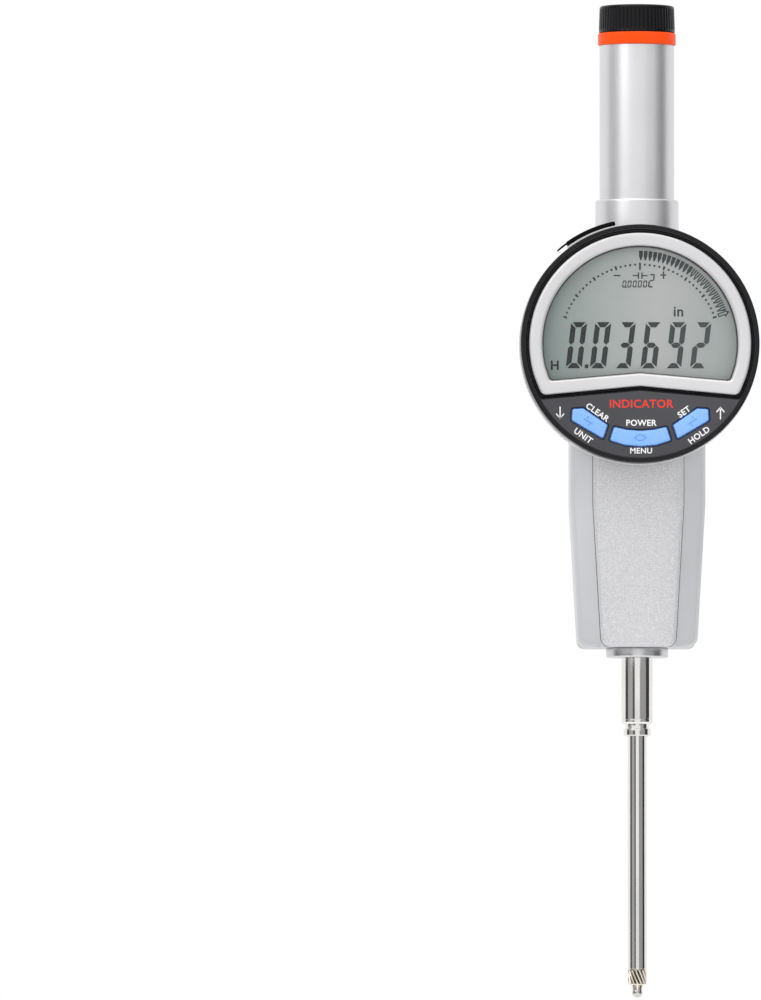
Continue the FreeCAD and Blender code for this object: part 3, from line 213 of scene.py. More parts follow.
def knurled_nickel():
    """Warm nickel with painted shade: the bottoms of the flutes, nearer the axis than their crests, are painted
    dark, and the crests carry a painted highlight.
    """
    material, tree, shader = new_material("nickel", (0.84, 0.77, 0.66), 1.0, 0.2)
    wear = noise(tree, coordinates(tree), 900.0)
    link(tree, spread(tree, wear, 0.10, 0.20), shader.inputs["Roughness"])
    # Painted shade in the flute bottoms and a painted highlight on the crests, set by the distance from the axis.
    flute_shade_radius = tree.nodes.new("ShaderNodeVectorMath")
    flute_shade_radius.operation = "LENGTH"
    link(tree, coordinates(tree, (1, 1, 0)), flute_shade_radius.inputs[0])
    level = spread(tree, flute_shade_radius.outputs["Value"], 0.0, 1.0, 1.2 * MM, 2.4 * MM)
    stops = [(0.33, (0.86, 0.79, 0.68)), (0.70, (0.07, 0.055, 0.04)), (0.86, (0.45, 0.38, 0.29)),
             (0.97, (0.95, 0.89, 0.79))]
    link(tree, tint(tree, level, stops), shader.inputs["Base Color"])
    return material


def ground(name, color, rough_low, rough_high, around=9000.0):
    """Turned or ground metal: very fine rings round the Z axis."""
    return grained(name, color, around, rough_low, rough_high, metallic=1.0, variation=0.03,
                   strength=0.06, depth=0.000004, stretch=(0.02, 0.02, 1.0))


def drawn(name, color, rough_low, rough_high):
    """Anodised tube: soft satin with fine lines along Z."""
    return grained(name, color, 4000.0, rough_low, rough_high, metallic=0.85, variation=0.03,
                   strength=0.03, depth=0.000004, stretch=(1.0, 1.0, 0.04))


def display_grey():
    """Reflective display: greener and darker towards the lower left as painted shade, lighter on the right as
    painted light.
    """
    material, tree, shader = new_material("display_grey", (0.3, 0.34, 0.32), 0.0, 0.5,
                                          Specular_IOR_Level=0.12)
    place = tree.nodes.new("ShaderNodeSeparateXYZ")
    link(tree, coordinates(tree), place.inputs["Vector"])
    soft = noise(tree, coordinates(tree), 38.0, 1.0)
    across = tree.nodes.new("ShaderNodeMath")
    across.operation = "MULTIPLY_ADD"
    across.inputs[1].default_value = 0.012
    link(tree, soft, across.inputs[0])
    link(tree, place.outputs["X"], across.inputs[2])
    level = spread(tree, across.outputs["Value"], 0.0, 1.0, -0.020, 0.030)
    # Painted shade at the left and painted light at the right of the display, along X.
    stops = [(0.0, (0.185, 0.23, 0.22)), (0.35, (0.315, 0.345, 0.33)), (0.62, (0.39, 0.393, 0.388)),
             (1.0, (0.305, 0.335, 0.325))]
    link(tree, tint(tree, level, stops), shader.inputs["Base Color"])
    return material


def segment_ink():
    """Display segments: almost black at the left, fading to dark grey at the right as painted light."""
    material, tree, shader = new_material("segment_dark", (0.01, 0.012, 0.014), 0.0, 0.55,
                                          Specular_IOR_Level=0.1)
    place = tree.nodes.new("ShaderNodeSeparateXYZ")
    link(tree, coordinates(tree), place.inputs["Vector"])
    level = spread(tree, place.outputs["X"], 0.0, 1.0, -0.018, 0.018)
    # Painted light: the segments lighten towards the right, along X.
    stops = [(0.0, (0.003, 0.004, 0.006)), (0.4, (0.012, 0.016, 0.018)), (1.0, (0.045, 0.05, 0.052))]
    link(tree, tint(tree, level, stops), shader.inputs["Base Color"])
    link(tree, spread(tree, noise(tree, coordinates(tree), 2000.0), 0.5, 0.62), shader.inputs["Roughness"])
    return material


def clear_window():
    material, tree, shader = new_material("lens_clear", (0.5, 0.54, 0.52), 0.0, 0.06, Alpha=0.035,
                                          Specular_IOR_Level=0.25)
    smear = noise(tree, coordinates(tree), 60.0, 2.0)
    link(tree, spread(tree, smear, 0.04, 0.12), shader.inputs["Roughness"])
    material.surface_render_method = "BLENDED"
    return material


def key_blue():
    color = (0.20, 0.40, 0.90)
    material = grained("key_blue", color, 5200.0, 0.36, 0.50, variation=0.05, strength=0.10,
                       Subsurface_Weight=0.25)
    shader = material.node_tree.nodes["Principled BSDF"]
    shader.inputs["Subsurface Scale"].default_value = 0.0008
    # Painted light: a faint blue glow on the keys, which are no lamp.
    shader.inputs["Emission Color"].default_value = (0.25, 0.45, 0.95, 1)
    shader.inputs["Emission Strength"].default_value = 0.12
    return material


def circuit_green():
    material, tree, shader = new_material("circuit_board", (0.02, 0.16, 0.07), 0.0, 0.4)
    tracks = cells(tree, coordinates(tree), 420.0, "DISTANCE_TO_EDGE")
    stops = [(0.03, (0.02, 0.24, 0.10)), (0.06, (0.012, 0.12, 0.05))]
    link(tree, tint(tree, tracks, stops), shader.inputs["Base Color"])
    bump(tree, shader, tracks, 0.2, 0.00002)
    return material


def ruled_glass():
    """Glass scale with a fine grating along its length."""
    material, tree, shader = new_material("scale_glass", (0.75, 0.8, 0.8), 0.0, 0.08, Alpha=0.6)
    wave = tree.nodes.new("ShaderNodeTexWave")
    wave.bands_direction = "Z"
    wave.inputs["Scale"].default_value = 1500.0
    link(tree, coordinates(tree), wave.inputs["Vector"])
    stops = [(0.45, (0.78, 0.83, 0.83)), (0.55, (0.12, 0.12, 0.13))]
    link(tree, tint(tree, wave.outputs["Fac"], stops), shader.inputs["Base Color"])
    return material


def make_materials():
    return {
        "cast_silver": pebbled_silver(),
        "case_silver": grained("case_silver", (0.62, 0.62, 0.63), 3200.0, 0.32, 0.46, metallic=0.6,
                               variation=0.04),
        "wing_silver": grained("wing_silver", (0.585, 0.59, 0.605), 3000.0, 0.38, 0.5, metallic=0.4,
                               variation=0.04, strength=0.12),
        "satin_aluminium": drawn("satin_aluminium", (0.70, 0.695, 0.715), 0.33, 0.39),
        "satin_steel": ground("satin_steel", (0.66, 0.66, 0.67), 0.26, 0.36),
        "ground_steel": ground("ground_steel", (0.80, 0.79, 0.77), 0.07, 0.13),
        "ball_steel": ground("ball_steel", (0.62, 0.60, 0.57), 0.10, 0.2),
        "spring_steel": ground("spring_steel", (0.45, 0.45, 0.46), 0.22, 0.35),
        "dark_steel": ground("dark_steel", (0.16, 0.16, 0.17), 0.30, 0.42),
        "bronze": ground("bronze", (0.62, 0.43, 0.20), 0.25, 0.4),
        "nickel": knurled_nickel(),
        "orange_ring": grained("orange_ring", (0.86, 0.07, 0.003), 2500.0, 0.30, 0.42, variation=0.05,
                               strength=0.08, Specular_IOR_Level=0.12),
        "cap_black": grained("cap_black", (0.006, 0.006, 0.007), 3500.0, 0.16, 0.28, variation=0.2,
                             strength=0.08, Specular_IOR_Level=0.16),
        "port_black": grained("port_black", (0.004, 0.004, 0.004), 3500.0, 0.5, 0.65, variation=0.2,
                              Specular_IOR_Level=0.08),
        "gloss_black": grained("gloss_black", (0.004, 0.004, 0.005), 1200.0, 0.10, 0.2, variation=0.1,
                               strength=0.03),
        "black_rubber": grained("black_rubber", (0.02, 0.02, 0.02), 2400.0, 0.6, 0.8, variation=0.2),
        "black_plastic": grained("black_plastic", (0.02, 0.02, 0.02), 2800.0, 0.35, 0.5, variation=0.2),
        "joint_grey": grained("joint_grey", (0.17, 0.17, 0.18), 2500.0, 0.5, 0.6, variation=0.2),
        "felt": grained("felt", (0.12, 0.12, 0.12), 1500.0, 0.85, 0.98, variation=0.3, strength=0.6),
        "bezel_grey": grained("bezel_grey", (0.058, 0.058, 0.064), 5000.0, 0.45, 0.6, variation=0.08,
                              strength=0.25, Specular_IOR_Level=0.3),
        "bezel_black": grained("bezel_black", (0.009, 0.009, 0.010), 2500.0, 0.20, 0.30, variation=0.15,
                               strength=0.06, Specular_IOR_Level=0.2),
        "frame_grey": grained("frame_grey", (0.62, 0.612, 0.62), 2600.0, 0.28, 0.38, variation=0.03,
                              strength=0.08, metallic=0.35),
        "display_grey": display_grey(),
        "lens_clear": clear_window(),
        "scale_glass": ruled_glass(),
        "key_blue": key_blue(),
        "circuit_board": circuit_green(),
        "amber_film": grained("amber_film", (0.50, 0.24, 0.03), 1500.0, 0.2, 0.3, variation=0.1),
        "segment_dark": segment_ink(),
        "segment_mid": grained("segment_mid", (0.028, 0.034, 0.036), 2000.0, 0.5, 0.6, variation=0.2,
                               strength=0.02, Specular_IOR_Level=0.1),
        "ink_white": grained("ink_white", (0.80, 0.80, 0.80), 3000.0, 0.5, 0.6, variation=0.03,
                             strength=0.05),
        "ink_red": grained("ink_red", (0.70, 0.03, 0.015), 3000.0, 0.45, 0.55, variation=0.05,
                           strength=0.05),
        "key_mark": grained("key_mark", (0.12, 0.27, 0.72), 3000.0, 0.5, 0.6, variation=0.05,
                            strength=0.05),
    }


# ---------------------------------------------------------------- mesh helpers

def finish_piece(piece, material, node, smooth_angle=35.0, replaces=True, body=None):
    """Gives a mesh its material and shading. The node gives its body and what it replaces."""
    piece.data.materials.clear()
    piece.data.materials.append(materials[material])
    piece.data.shade_smooth()
    piece.data.set_sharp_from_angle(angle=math.radians(smooth_angle))
    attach(piece, body or BODY_OF[node])
    if replaces:
        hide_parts(node)
    return piece


def mesh_object(name, vertices, faces):
    data = bpy.data.meshes.new(name)
    data.from_pydata(vertices, [], faces)
    work = bmesh.new()
    work.from_mesh(data)
    bmesh.ops.remove_doubles(work, verts=work.verts, dist=1e-8)
    bmesh.ops.recalc_face_normals(work, faces=work.faces)
    work.to_mesh(data)
    work.free()
    piece = bpy.data.objects.new(name, data)
    bpy.context.scene.collection.objects.link(piece)
    return piece


def rounded(points, radii, steps=5):
    """Rounds the corners of a closed outline; radii holds one radius per point."""
    result = []
    count = len(points)
    for i, (point, radius) in enumerate(zip(points, radii)):
        here = Vector(point)
        if radius <= 0:
            result.append(tuple(here))
            continue
        to_last = Vector(points[i - 1]) - here
        to_next = Vector(points[(i + 1) % count]) - here
        half = to_last.angle(to_next) / 2
        reach = min(radius / math.tan(half), to_last.length * 0.49, to_next.length * 0.49)
        start = here + to_last.normalized() * reach
        end = here + to_next.normalized() * reach
        for step in range(steps + 1):
            t = step / steps
            point_on = start * (1 - t) ** 2 + here * 2 * t * (1 - t) + end * t ** 2
            result.append(tuple(point_on))
    return result


def lathe(name, profile, segments=160, shape=None):
    """Turns a closed (radius, height) outline about Z. shape may change each point's radius."""
    vertices = []
    count = len(profile)
    for step in range(segments):
        angle = FULL_TURN * step / segments
        for r, z in profile:
            radius = shape(r, z, angle) if shape else r
            vertices.append((radius * math.cos(angle), radius * math.sin(angle), z))
    faces = []
    for step in range(segments):
        after = (step + 1) % segments
        for i in range(count):
            j = (i + 1) % count
            faces.append((step * count + i, after * count + i, after * count + j, step * count + j))
    return mesh_object(name, vertices, faces)


def loft(name, loops, closed=False):
    """Skin over loops of equal length; closed joins the last loop to the first, else they are capped."""
    count = len(loops[0])
    vertices = [point for loop in loops for point in loop]
    faces = []
    spans = len(loops) if closed else len(loops) - 1
    for k in range(spans):
        base, after = k * count, ((k + 1) % len(loops)) * count
        for i in range(count):
            j = (i + 1) % count
            faces.append((base + i, base + j, after + j, after + i))
    if not closed:
        faces.append(tuple(range(count)))
        faces.append(tuple(reversed(range((len(loops) - 1) * count, len(loops) * count))))
    return mesh_object(name, vertices, faces)


def display_points(radius, corner, peak, round_radius, arc_steps=96):
    """The display's outline about the head's axis: an arc, two straight lower edges and a low peak."""
    start = math.asin(corner / radius)
    arc = [(radius * math.cos(a), radius * math.sin(a))
           for a in (start + (math.pi - 2 * start) * i / arc_steps for i in range(arc_steps + 1))]
    ends = rounded([arc[-4], arc[-1], (0.0, peak)], [0, round_radius, 0], 6)[1:-1]
    right = [(-x, z) for x, z in reversed(ends)]
    return right + arc[4:-4] + ends + [(0.0, peak)]


def on_face(points, depth):
    """(x, z) points about the head's axis as points in the row frame at a depth."""
    return [(x, depth, z + HEAD_HEIGHT) for x, z in points]


def polar(radius, degrees):
    return radius * math.cos(math.radians(degrees)), radius * math.sin(math.radians(degrees))


def join(name, parts):
    """Joins several meshes into one object."""
    work = bmesh.new()
    for part in parts:
        work.from_mesh(part.data)
        bpy.data.objects.remove(part)
    data = bpy.data.meshes.new(name)
    work.to_mesh(data)
    work.free()
    piece = bpy.data.objects.new(name, data)
    bpy.context.scene.collection.objects.link(piece)
    return piece


def carve(piece, cutters, operation="DIFFERENCE"):
    """Applies booleans and removes the cutters."""
    for cutter in cutters:
        modifier = piece.modifiers.new("carve", "BOOLEAN")
        modifier.object = cutter
        modifier.operation = operation
        modifier.solver = "EXACT"
        bpy.context.view_layer.update()
        graph = bpy.context.evaluated_depsgraph_get()
        data = bpy.data.meshes.new_from_object(piece.evaluated_get(graph))
        piece.modifiers.clear()
        piece.data = data
        bpy.data.objects.remove(cutter)
    return piece


def facewise(piece, centre_x=0.0, centre_z=None):
    """Turns a piece made about Z into one about the head's axis: its height becomes depth along Y."""
    shift = HEAD_HEIGHT if centre_z is None else centre_z
    turn = Matrix(((1, 0, 0, centre_x), (0, 0, 1, 0), (0, 1, 0, shift), (0, 0, 0, 1)))
    piece.data.transform(turn)
    piece.data.flip_normals()
    return piece


def rod_along_y(name, x, z, radius, front, rear, segments=48):
    """Plain round cutter along Y."""
    return facewise(lathe(name, [(0, front), (radius, front), (radius, rear), (0, rear)], segments), x, z)


def block(name, lowest, highest):
    """Plain cutter box."""
    (a, b, c), (d, e, f) = lowest, highest
    loops = [[(a, b, z), (d, b, z), (d, e, z), (a, e, z)] for z in (c, f)]
    return loft(name, loops)


def offset_outline(points, distance):
    """Moves each side of an anticlockwise outline outwards."""
    moved = []
    count = len(points)
    for i in range(count):
        before, here, after = (Vector(points[(i + k) % count]) for k in (-1, 0, 1))
        first, second = (here - before).normalized(), (after - here).normalized()
        normal_a, normal_b = Vector((first.y, -first.x)), Vector((second.y, -second.x))
        corner = here + (normal_a + normal_b) * (distance / (1 + normal_a.dot(normal_b)))
        moved.append((corner.x, corner.y))
    return moved


def scaled(points):
    """Millimetre points in metres."""
    return [tuple(value * MM for value in point) for point in points]


def flat_shapes(name, outlines, front, rear):
    """Thin raised shapes on the face of the head; each outline is (x, z) about the head's axis."""
    vertices, faces = [], []
    for outline in outlines:
        base, count = len(vertices), len(outline)
        vertices += on_face(outline, front) + on_face(outline, rear)
        faces.append(tuple(range(base, base + count)))
        faces.append(tuple(reversed(range(base + count, base + 2 * count))))
        for i in range(count):
            j = (i + 1) % count
            faces.append((base + i, base + count + i, base + count + j, base + j))
    return mesh_object(name, vertices, faces)


def lettering(name, lines, depth, thickness):
    """Words on the face: each line is (text, x, z, height, degrees)."""
    parts = []
    for text, x, z, height, degrees in lines:
        data = bpy.data.curves.new(name, "FONT")
        data.body = text
        data.size = height * MM / 0.70
        data.align_x = "CENTER"
        data.align_y = "CENTER"
        data.space_character = 1.06
        data.offset = height * MM * 0.03
        data.extrude = thickness / 2
        data.resolution_u = 3
        holder = bpy.data.objects.new(name, data)
        bpy.context.scene.collection.objects.link(holder)
        bpy.context.view_layer.update()
        graph = bpy.context.evaluated_depsgraph_get()
        mesh = bpy.data.meshes.new_from_object(holder.evaluated_get(graph))
        bpy.data.objects.remove(holder)
        turn = Matrix.Rotation(math.radians(degrees), 4, "Z")
        stand = Matrix(((1, 0, 0, x * MM), (0, 0, -1, depth), (0, 1, 0, HEAD_HEIGHT + z * MM), (0, 0, 0, 1)))
        mesh.transform(stand @ turn)
        part = bpy.data.objects.new(name, mesh)
        bpy.context.scene.collection.objects.link(part)
        parts.append(part)
    return join(name, parts)


# ---------------------------------------------------------------- turned pieces

def turned_piece(name, node, material, profile, radii, segments):
    """A lathe piece from a millimetre (radius, height) outline, with rounded corners."""
    outline = rounded(scaled(profile), [value * MM for value in radii], 4)
    finish_piece(lathe(name, outline, segments), material, node)


def mm(value):
    return value / MM


def make_spindle():
    low_z, high_z = mm(low("spindle").z), mm(high("spindle").z)
    r = mm(radius_of("spindle"))
    knurl_top = low_z
    turned_piece("spindle_rod", "spindle", "ground_steel", [
        (0, knurl_top + 5.5), (1.5, knurl_top + 5.5), (1.5, knurl_top), (r - 0.25, knurl_top),
        (r, knurl_top + 0.25), (r, high_z - 0.4), (r - 0.4, high_z), (0, high_z)],
        [0, 0, 0, 0.05, 0.1, 0.1, 0.1, 0], 192)


def make_contact():
    base, top = mm(low("contact_point").z), mm(high("contact_point").z)
    tip = mm(low("contact_ball").z)
    knurl_low, knurl_high = tip + 3.35, mm(low("spindle").z)
    r = mm(radius_of("contact_point"))
    depth, flutes, lead = 0.36 * MM, 14, 0.030

    def fluted(radius, z, angle):
        """Coarse slanting flutes."""
        if radius < (r - 0.12) * MM or not (knurl_low + 0.12) * MM < z < (knurl_high - 0.12) * MM:
            return radius
        turn = z / lead * FULL_TURN
        main = 0.5 + 0.5 * math.cos((angle + turn) * flutes)
        return radius - depth * main ** 1.6

    rows = 60
    span = knurl_high - 0.1 - (knurl_low + 0.1)
    collar = [(r * MM, (knurl_low + 0.1 + span * i / rows) * MM) for i in range(rows + 1)]
    neck = 1.55
    profile = (scaled([(0.02, base + 0.05), (0.9, base + 0.05), (1.22, base), (1.29, base + 0.05),
                       (1.31, base + 0.4), (neck - 0.02, knurl_low - 0.15), (neck + 0.1, knurl_low - 0.02),
                       (r - 0.2, knurl_low), (r - 0.06, knurl_low + 0.03)]) + collar
               + scaled([(r - 0.15, knurl_high), (1.4, knurl_high), (1.25, knurl_high + 0.2), (1.25, top),
                         (0.02, top)]))
    piece = lathe("contact_point_knurled", profile, 448, fluted)
    finish_piece(piece, "nickel", "contact_point", 28.0)

    ball = mm(high("contact_ball").x)
    centre = tip + ball
    arc = [(ball * math.cos(a), centre + ball * math.sin(a))
           for a in (math.radians(-90 + 174 * i / 60) for i in range(61))]
    arc[0] = (0.0, tip)
    piece = lathe("contact_ball_tip", scaled(arc + [(0.0, arc[-1][1])]), 128)
    finish_piece(piece, "ball_steel", "contact_ball", 60.0)


def make_stem():
    low_z, high_z = mm(low("stem").z), mm(high("stem").z)
    seat = mm(low("stem_flange").z)
    turned_piece("stem_sleeve", "stem", "ground_steel", [
        (3.0, low_z), (3.45, low_z), (4.0, low_z + 0.55), (4.0, -seat - 0.18), (3.86, -seat - 0.13),
        (3.86, -seat - 0.03), (4.0, -seat + 0.02), (4.0, seat), (4.4, seat), (4.4, high_z), (3.0, high_z)],
        [0, 0.06, 0.08, 0.02, 0.02, 0.02, 0.02, 0, 0, 0.05, 0], 192)
    low_z, high_z = mm(low("stem_end_cap").z), mm(high("stem_end_cap").z)
    rim = 1.9
    turned_piece("stem_end_ring", "stem_end_cap", "ground_steel", [
        (2.72, low_z), (3.25, low_z), (3.5, low_z + 0.25), (3.5, low_z + rim - 0.12), (3.38, low_z + rim),
        (3.1, low_z + rim), (3.1, -9.1), (3.0, -9.1), (3.0, high_z), (2.72, high_z)],
        [0, 0.1, 0.12, 0.06, 0.04, 0.03, 0, 0, 0, 0], 160)
    low_z, high_z = mm(low("stem_flange").z), mm(high("stem_flange").z)
    r = mm(radius_of("stem_flange"))
    turned_piece("shoulder_ring", "stem_flange", "satin_steel", [
        (4.4, low_z), (r, low_z), (r, high_z), (4.4, high_z)], [0, 0.62, 0.5, 0], 192)


def make_top():
    low_z, high_z = mm(low("tube_collar").z), mm(high("tube_collar").z)
    seat = mm(high("body_casting").z)
    r = mm(radius_of("tube_collar"))
    tube = mm(radius_of("upper_tube"))
    tube_low, tube_high = mm(low("upper_tube").z), mm(high("upper_tube").z)
    turned_piece("collar_ring", "tube_collar", "satin_aluminium", [
        (8.3, low_z), (9.3, low_z), (9.3, seat), (r, seat), (r, high_z), (tube, high_z), (tube, tube_low),
        (8.3, tube_low)], [0, 0, 0, 0.12, 1.1, 0.02, 0, 0], 192)

    ring_low, ring_high = mm(low("colour_ring").z), mm(high("colour_ring").z)
    thread = []
    z = ring_low + 0.3
    while z < tube_high - 0.75:
        thread += [(8.9, z), (8.62, z + 0.2), (8.9, z + 0.4)] if z > ring_high + 0.1 else []
        z += 0.45
    turned_piece("tube_barrel", "upper_tube", "satin_aluminium",
                 [(8.3, tube_low), (tube, tube_low), (tube, ring_low), (8.9, ring_low)] + thread
                 + [(8.9, tube_high - 0.25), (8.65, tube_high), (8.3, tube_high)],
                 [0, 0, 0.1, 0] + [0] * len(thread) + [0, 0, 0], 192)
    r = mm(radius_of("colour_ring"))
    turned_piece("orange_band", "colour_ring", "orange_ring", [
        (8.9, ring_low), (r, ring_low), (r, ring_high), (8.9, ring_high)], [0, 0.32, 0.32, 0], 192)

    low_z, high_z = mm(low("top_cap").z), mm(high("top_cap").z)
    r, upper = mm(radius_of("top_cap")), mm(radius_of("top_cap")) - 0.2
    ribs, rib_depth = 54, 0.16 * MM

    def ribbed(radius, z, angle):
        if radius < 9.2 * MM:
            return radius
        fade = min(1.0, max(0.0, (z - (low_z + 0.55) * MM) / (0.35 * MM)))
        fade *= min(1.0, max(0.0, ((high_z - 0.75) * MM - z) / (0.25 * MM)))
        wave = abs(math.sin(angle * ribs / 2)) ** 0.7
        return radius - rib_depth * (1 - wave) * fade

    rise = [(r + (upper - r) * t, low_z + 0.5 + (high_z - 0.95 - low_z) * t) for t in
            (0, 0.03, 0.06, 0.1, 0.3, 0.6, 0.86, 0.9, 0.93, 0.96, 1.0)]
    profile = ([(8.96, low_z), (r - 0.15, low_z), (r, low_z + 0.15)] + rise
               + [(upper - 0.12, high_z - 0.27), (upper - 0.45, high_z - 0.06), (upper - 0.85, high_z),
                  (7.2, high_z), (7.0, high_z - 0.18), (6.7, high_z - 0.2), (0, high_z - 0.12),
                  (0, high_z - 4.3), (8.96, high_z - 4.3)])
    piece = lathe("cap_ribbed", scaled(profile), ribs * 16, ribbed)
    finish_piece(piece, "cap_black", "top_cap", 32.0)


# ---------------------------------------------------------------- body

BODY_LOW, BODY_HIGH = low("body_casting").z, high("body_casting").z
BODY_REAR = high("body_casting").y
BODY_HALF = high("body_casting").x
LOW_HALF = BODY_HALF - 2.1 * MM
TAPER_TOP = 46.7 * MM
PANEL_INSET = 5.65 * MM
FIELD_FRONT = -11.0 * MM
WING_FRONT = -8.5 * MM
WALL = 2.0 * MM
FLOOR_THICK = 2.5 * MM


def half_width(z):
    if z >= TAPER_TOP:
        return BODY_HALF
    return LOW_HALF + (BODY_HALF - LOW_HALF) * (z - BODY_LOW) / (TAPER_TOP - BODY_LOW)


def body_loop(z, inset, rear, corner):
    """Plan of the casting at a height: flat sides, rounded long edges, sloping wings, flat field."""
    drop = 0.0
    above = z - BODY_LOW
    if above < corner:
        drop = corner - math.sqrt(max(0.0, corner ** 2 - (corner - above) ** 2))
    above = BODY_HIGH - z
    top_round = 0.35 * MM
    if above < top_round:
        drop = max(drop, (top_round - above) * 0.9)
    half = half_width(z) - inset - drop
    edge = 0.9 * MM
    side = [(half, rear), (half, WING_FRONT + edge + inset), (half - edge, WING_FRONT - edge / 3 + inset),
            (half_width(z) - PANEL_INSET, FIELD_FRONT + inset)]
    outline = side + [(-x, y) for x, y in reversed(side)]
    radii = [0.15 * MM, 0.7 * MM, 0.9 * MM, 0.25 * MM]
    return [(x, y, z) for x, y in rounded(outline, radii + radii[::-1], 5)]


def make_body():
    corner = 2.4 * MM
    levels = [BODY_LOW + corner * (1 - math.cos(math.radians(a))) for a in range(0, 91, 9)]
    levels += [TAPER_TOP] + [BODY_HIGH - 0.35 * MM, BODY_HIGH - 0.2 * MM, BODY_HIGH]
    shell = loft("body_shell", [body_loop(z, 0, BODY_REAR, corner) for z in levels])
    boss = facewise(lathe("boss", rounded(scaled([(0, -13.5), (14.5, -13.5), (14.5, -9), (0, -9)]),
                                          [0, 0.3 * MM, 0, 0], 4), 160))
    carve(shell, [boss], "UNION")
    inner_levels = [BODY_LOW + FLOOR_THICK, TAPER_TOP, BODY_HIGH - WALL]
    cutters = [loft("room", [body_loop(z, WALL, BODY_REAR + MM, 0) for z in inner_levels])]
    stem = mm(BODY_LOW)
    cutters.append(lathe("stem_hole", scaled([(0, stem - 1), (4.4, stem - 1), (4.4, stem + 4), (0,
                                                                                                stem + 4)]),
                                                                                                96))
    top = mm(BODY_HIGH)
    cutters.append(lathe("collar_hole", scaled([(0, top - 4), (9.3, top - 4), (9.3, top + 1), (0, top + 1)]),
                         96))
    cutters.append(facewise(lathe("hub_hole", scaled([(0, -15), (5.0, -15), (5.0, -8), (0, -8)]), 96)))
    cutters.append(facewise(lathe("stop_groove", scaled([(11.8, -14.5), (13.4, -14.5), (13.4, -12.5),
                                                          (11.8, -12.5)]), 128)))
    carve(shell, cutters)
    finish_piece(shell, "wing_silver", "body_casting", 24.0)


def panel_outline(inset):
    """Front outline of the raised panel, in metres, with round lower corners."""
    low_half = LOW_HALF - PANEL_INSET - inset
    half = BODY_HALF - PANEL_INSET - inset
    points = [(-low_half, BODY_LOW + inset), (low_half, BODY_LOW + inset), (half, TAPER_TOP),
              (half, BODY_HIGH - 0.02 * MM), (-half, BODY_HIGH - 0.02 * MM), (-half, TAPER_TOP)]
    curve = max(0.4 * MM, 2.7 * MM - inset * 0.6)
    return rounded(points, [curve, curve, 0, 0, 0, 0], 10)


def make_panel():
    loops = []
    for inset, depth in [(0, -10.7), (0, -11.45), (0.06, -11.75), (0.2, -12.0), (0.42, -12.25), (0.66,
                                                                                                 -12.42),
                         (0.9, -12.5)]:
        loops.append([(x, depth * MM, z) for x, z in panel_outline(inset * MM)])
    panel = loft("front_panel", loops)
    boss_clearance = facewise(lathe("clear", scaled([(0, -15), (14.49, -15), (14.49, -10), (0, -10)]), 128))
    carve(panel, [boss_clearance])
    finish_piece(panel, "cast_silver", "body_casting", 24.0, replaces=False)

    # Painted shade: a dark band round the foot of the raised panel, in the crease where it meets the field.
    rims = []
    for inset, depth in ((0.02, -10.6), (0.02, -11.06), (-0.2, -10.98), (-0.2, -10.5)):
        loop = []
        for x, z in panel_outline(inset * MM):
            loop.append((x, depth * MM, max(z, BODY_LOW + 0.01 * MM)))
        rims.append(loop)
    line = loft("panel_foot_painted_shade", rims, closed=True)
    finish_piece(line, "joint_grey", "body_casting", 30.0, replaces=False)


def make_back():
    front, rear = low("rear_cover").y, high("rear_cover").y
    corner = 2.4 * MM

    def outline(inset, extra):
        low_half, half = LOW_HALF - inset, BODY_HALF - inset
        points = [(-low_half, BODY_LOW + inset), (low_half, BODY_LOW + inset), (half, TAPER_TOP),
                  (half, BODY_HIGH - inset), (-half, BODY_HIGH - inset), (-half, TAPER_TOP)]
        curve = max(0.3 * MM, corner - inset)
        return rounded(points, [curve, curve, 0, extra, extra, 0], 8)

    loops = [[(x, y * MM + front, z) for x, z in outline(inset * MM, 0.4 * MM)]
             for inset, y in ((0.08, 0), (0, 0.08), (0, 0.9), (0.05, 1.13), (0.18, 1.33), (0.36, 1.45), (0.6,
                                                                                                         1.5))]
    cover = loft("back_plate", loops)
    points = [(side * x * MM, z * MM) for x, z in ((12.0, 14.8), (13.8, 106.2)) for side in (1, -1)]
    cutters = []
    for x, z in points:
        well = lathe("well", [(0, front - MM), (0.97 * MM, front - MM), (0.97 * MM, rear - 0.9 * MM),
                              (1.72 * MM, rear - 0.9 * MM), (1.72 * MM, rear - 0.15 * MM),
                              (1.9 * MM, rear + 0.05 * MM), (1.9 * MM, rear + MM), (0, rear + MM)], 48)
        cutters.append(facewise(well, x, z))
    carve(cover, cutters)
    finish_piece(cover, "wing_silver", "rear_cover", 24.0)

    loops = [[(x, y, z) for x, z in outline(inset * MM, 0.4 * MM)]
             for inset, y in ((0.6, low("rear_gasket").y), (0.6, high("rear_gasket").y),
                              (2.0, high("rear_gasket").y), (2.0, low("rear_gasket").y))]
    finish_piece(loft("back_gasket", loops, closed=True), "black_rubber", "rear_gasket", 30.0)
    make_screws("back_screw", "cover_screws", points, rear - 0.1 * MM, -1, 7.4, 0.95, 1.6, 0.8)


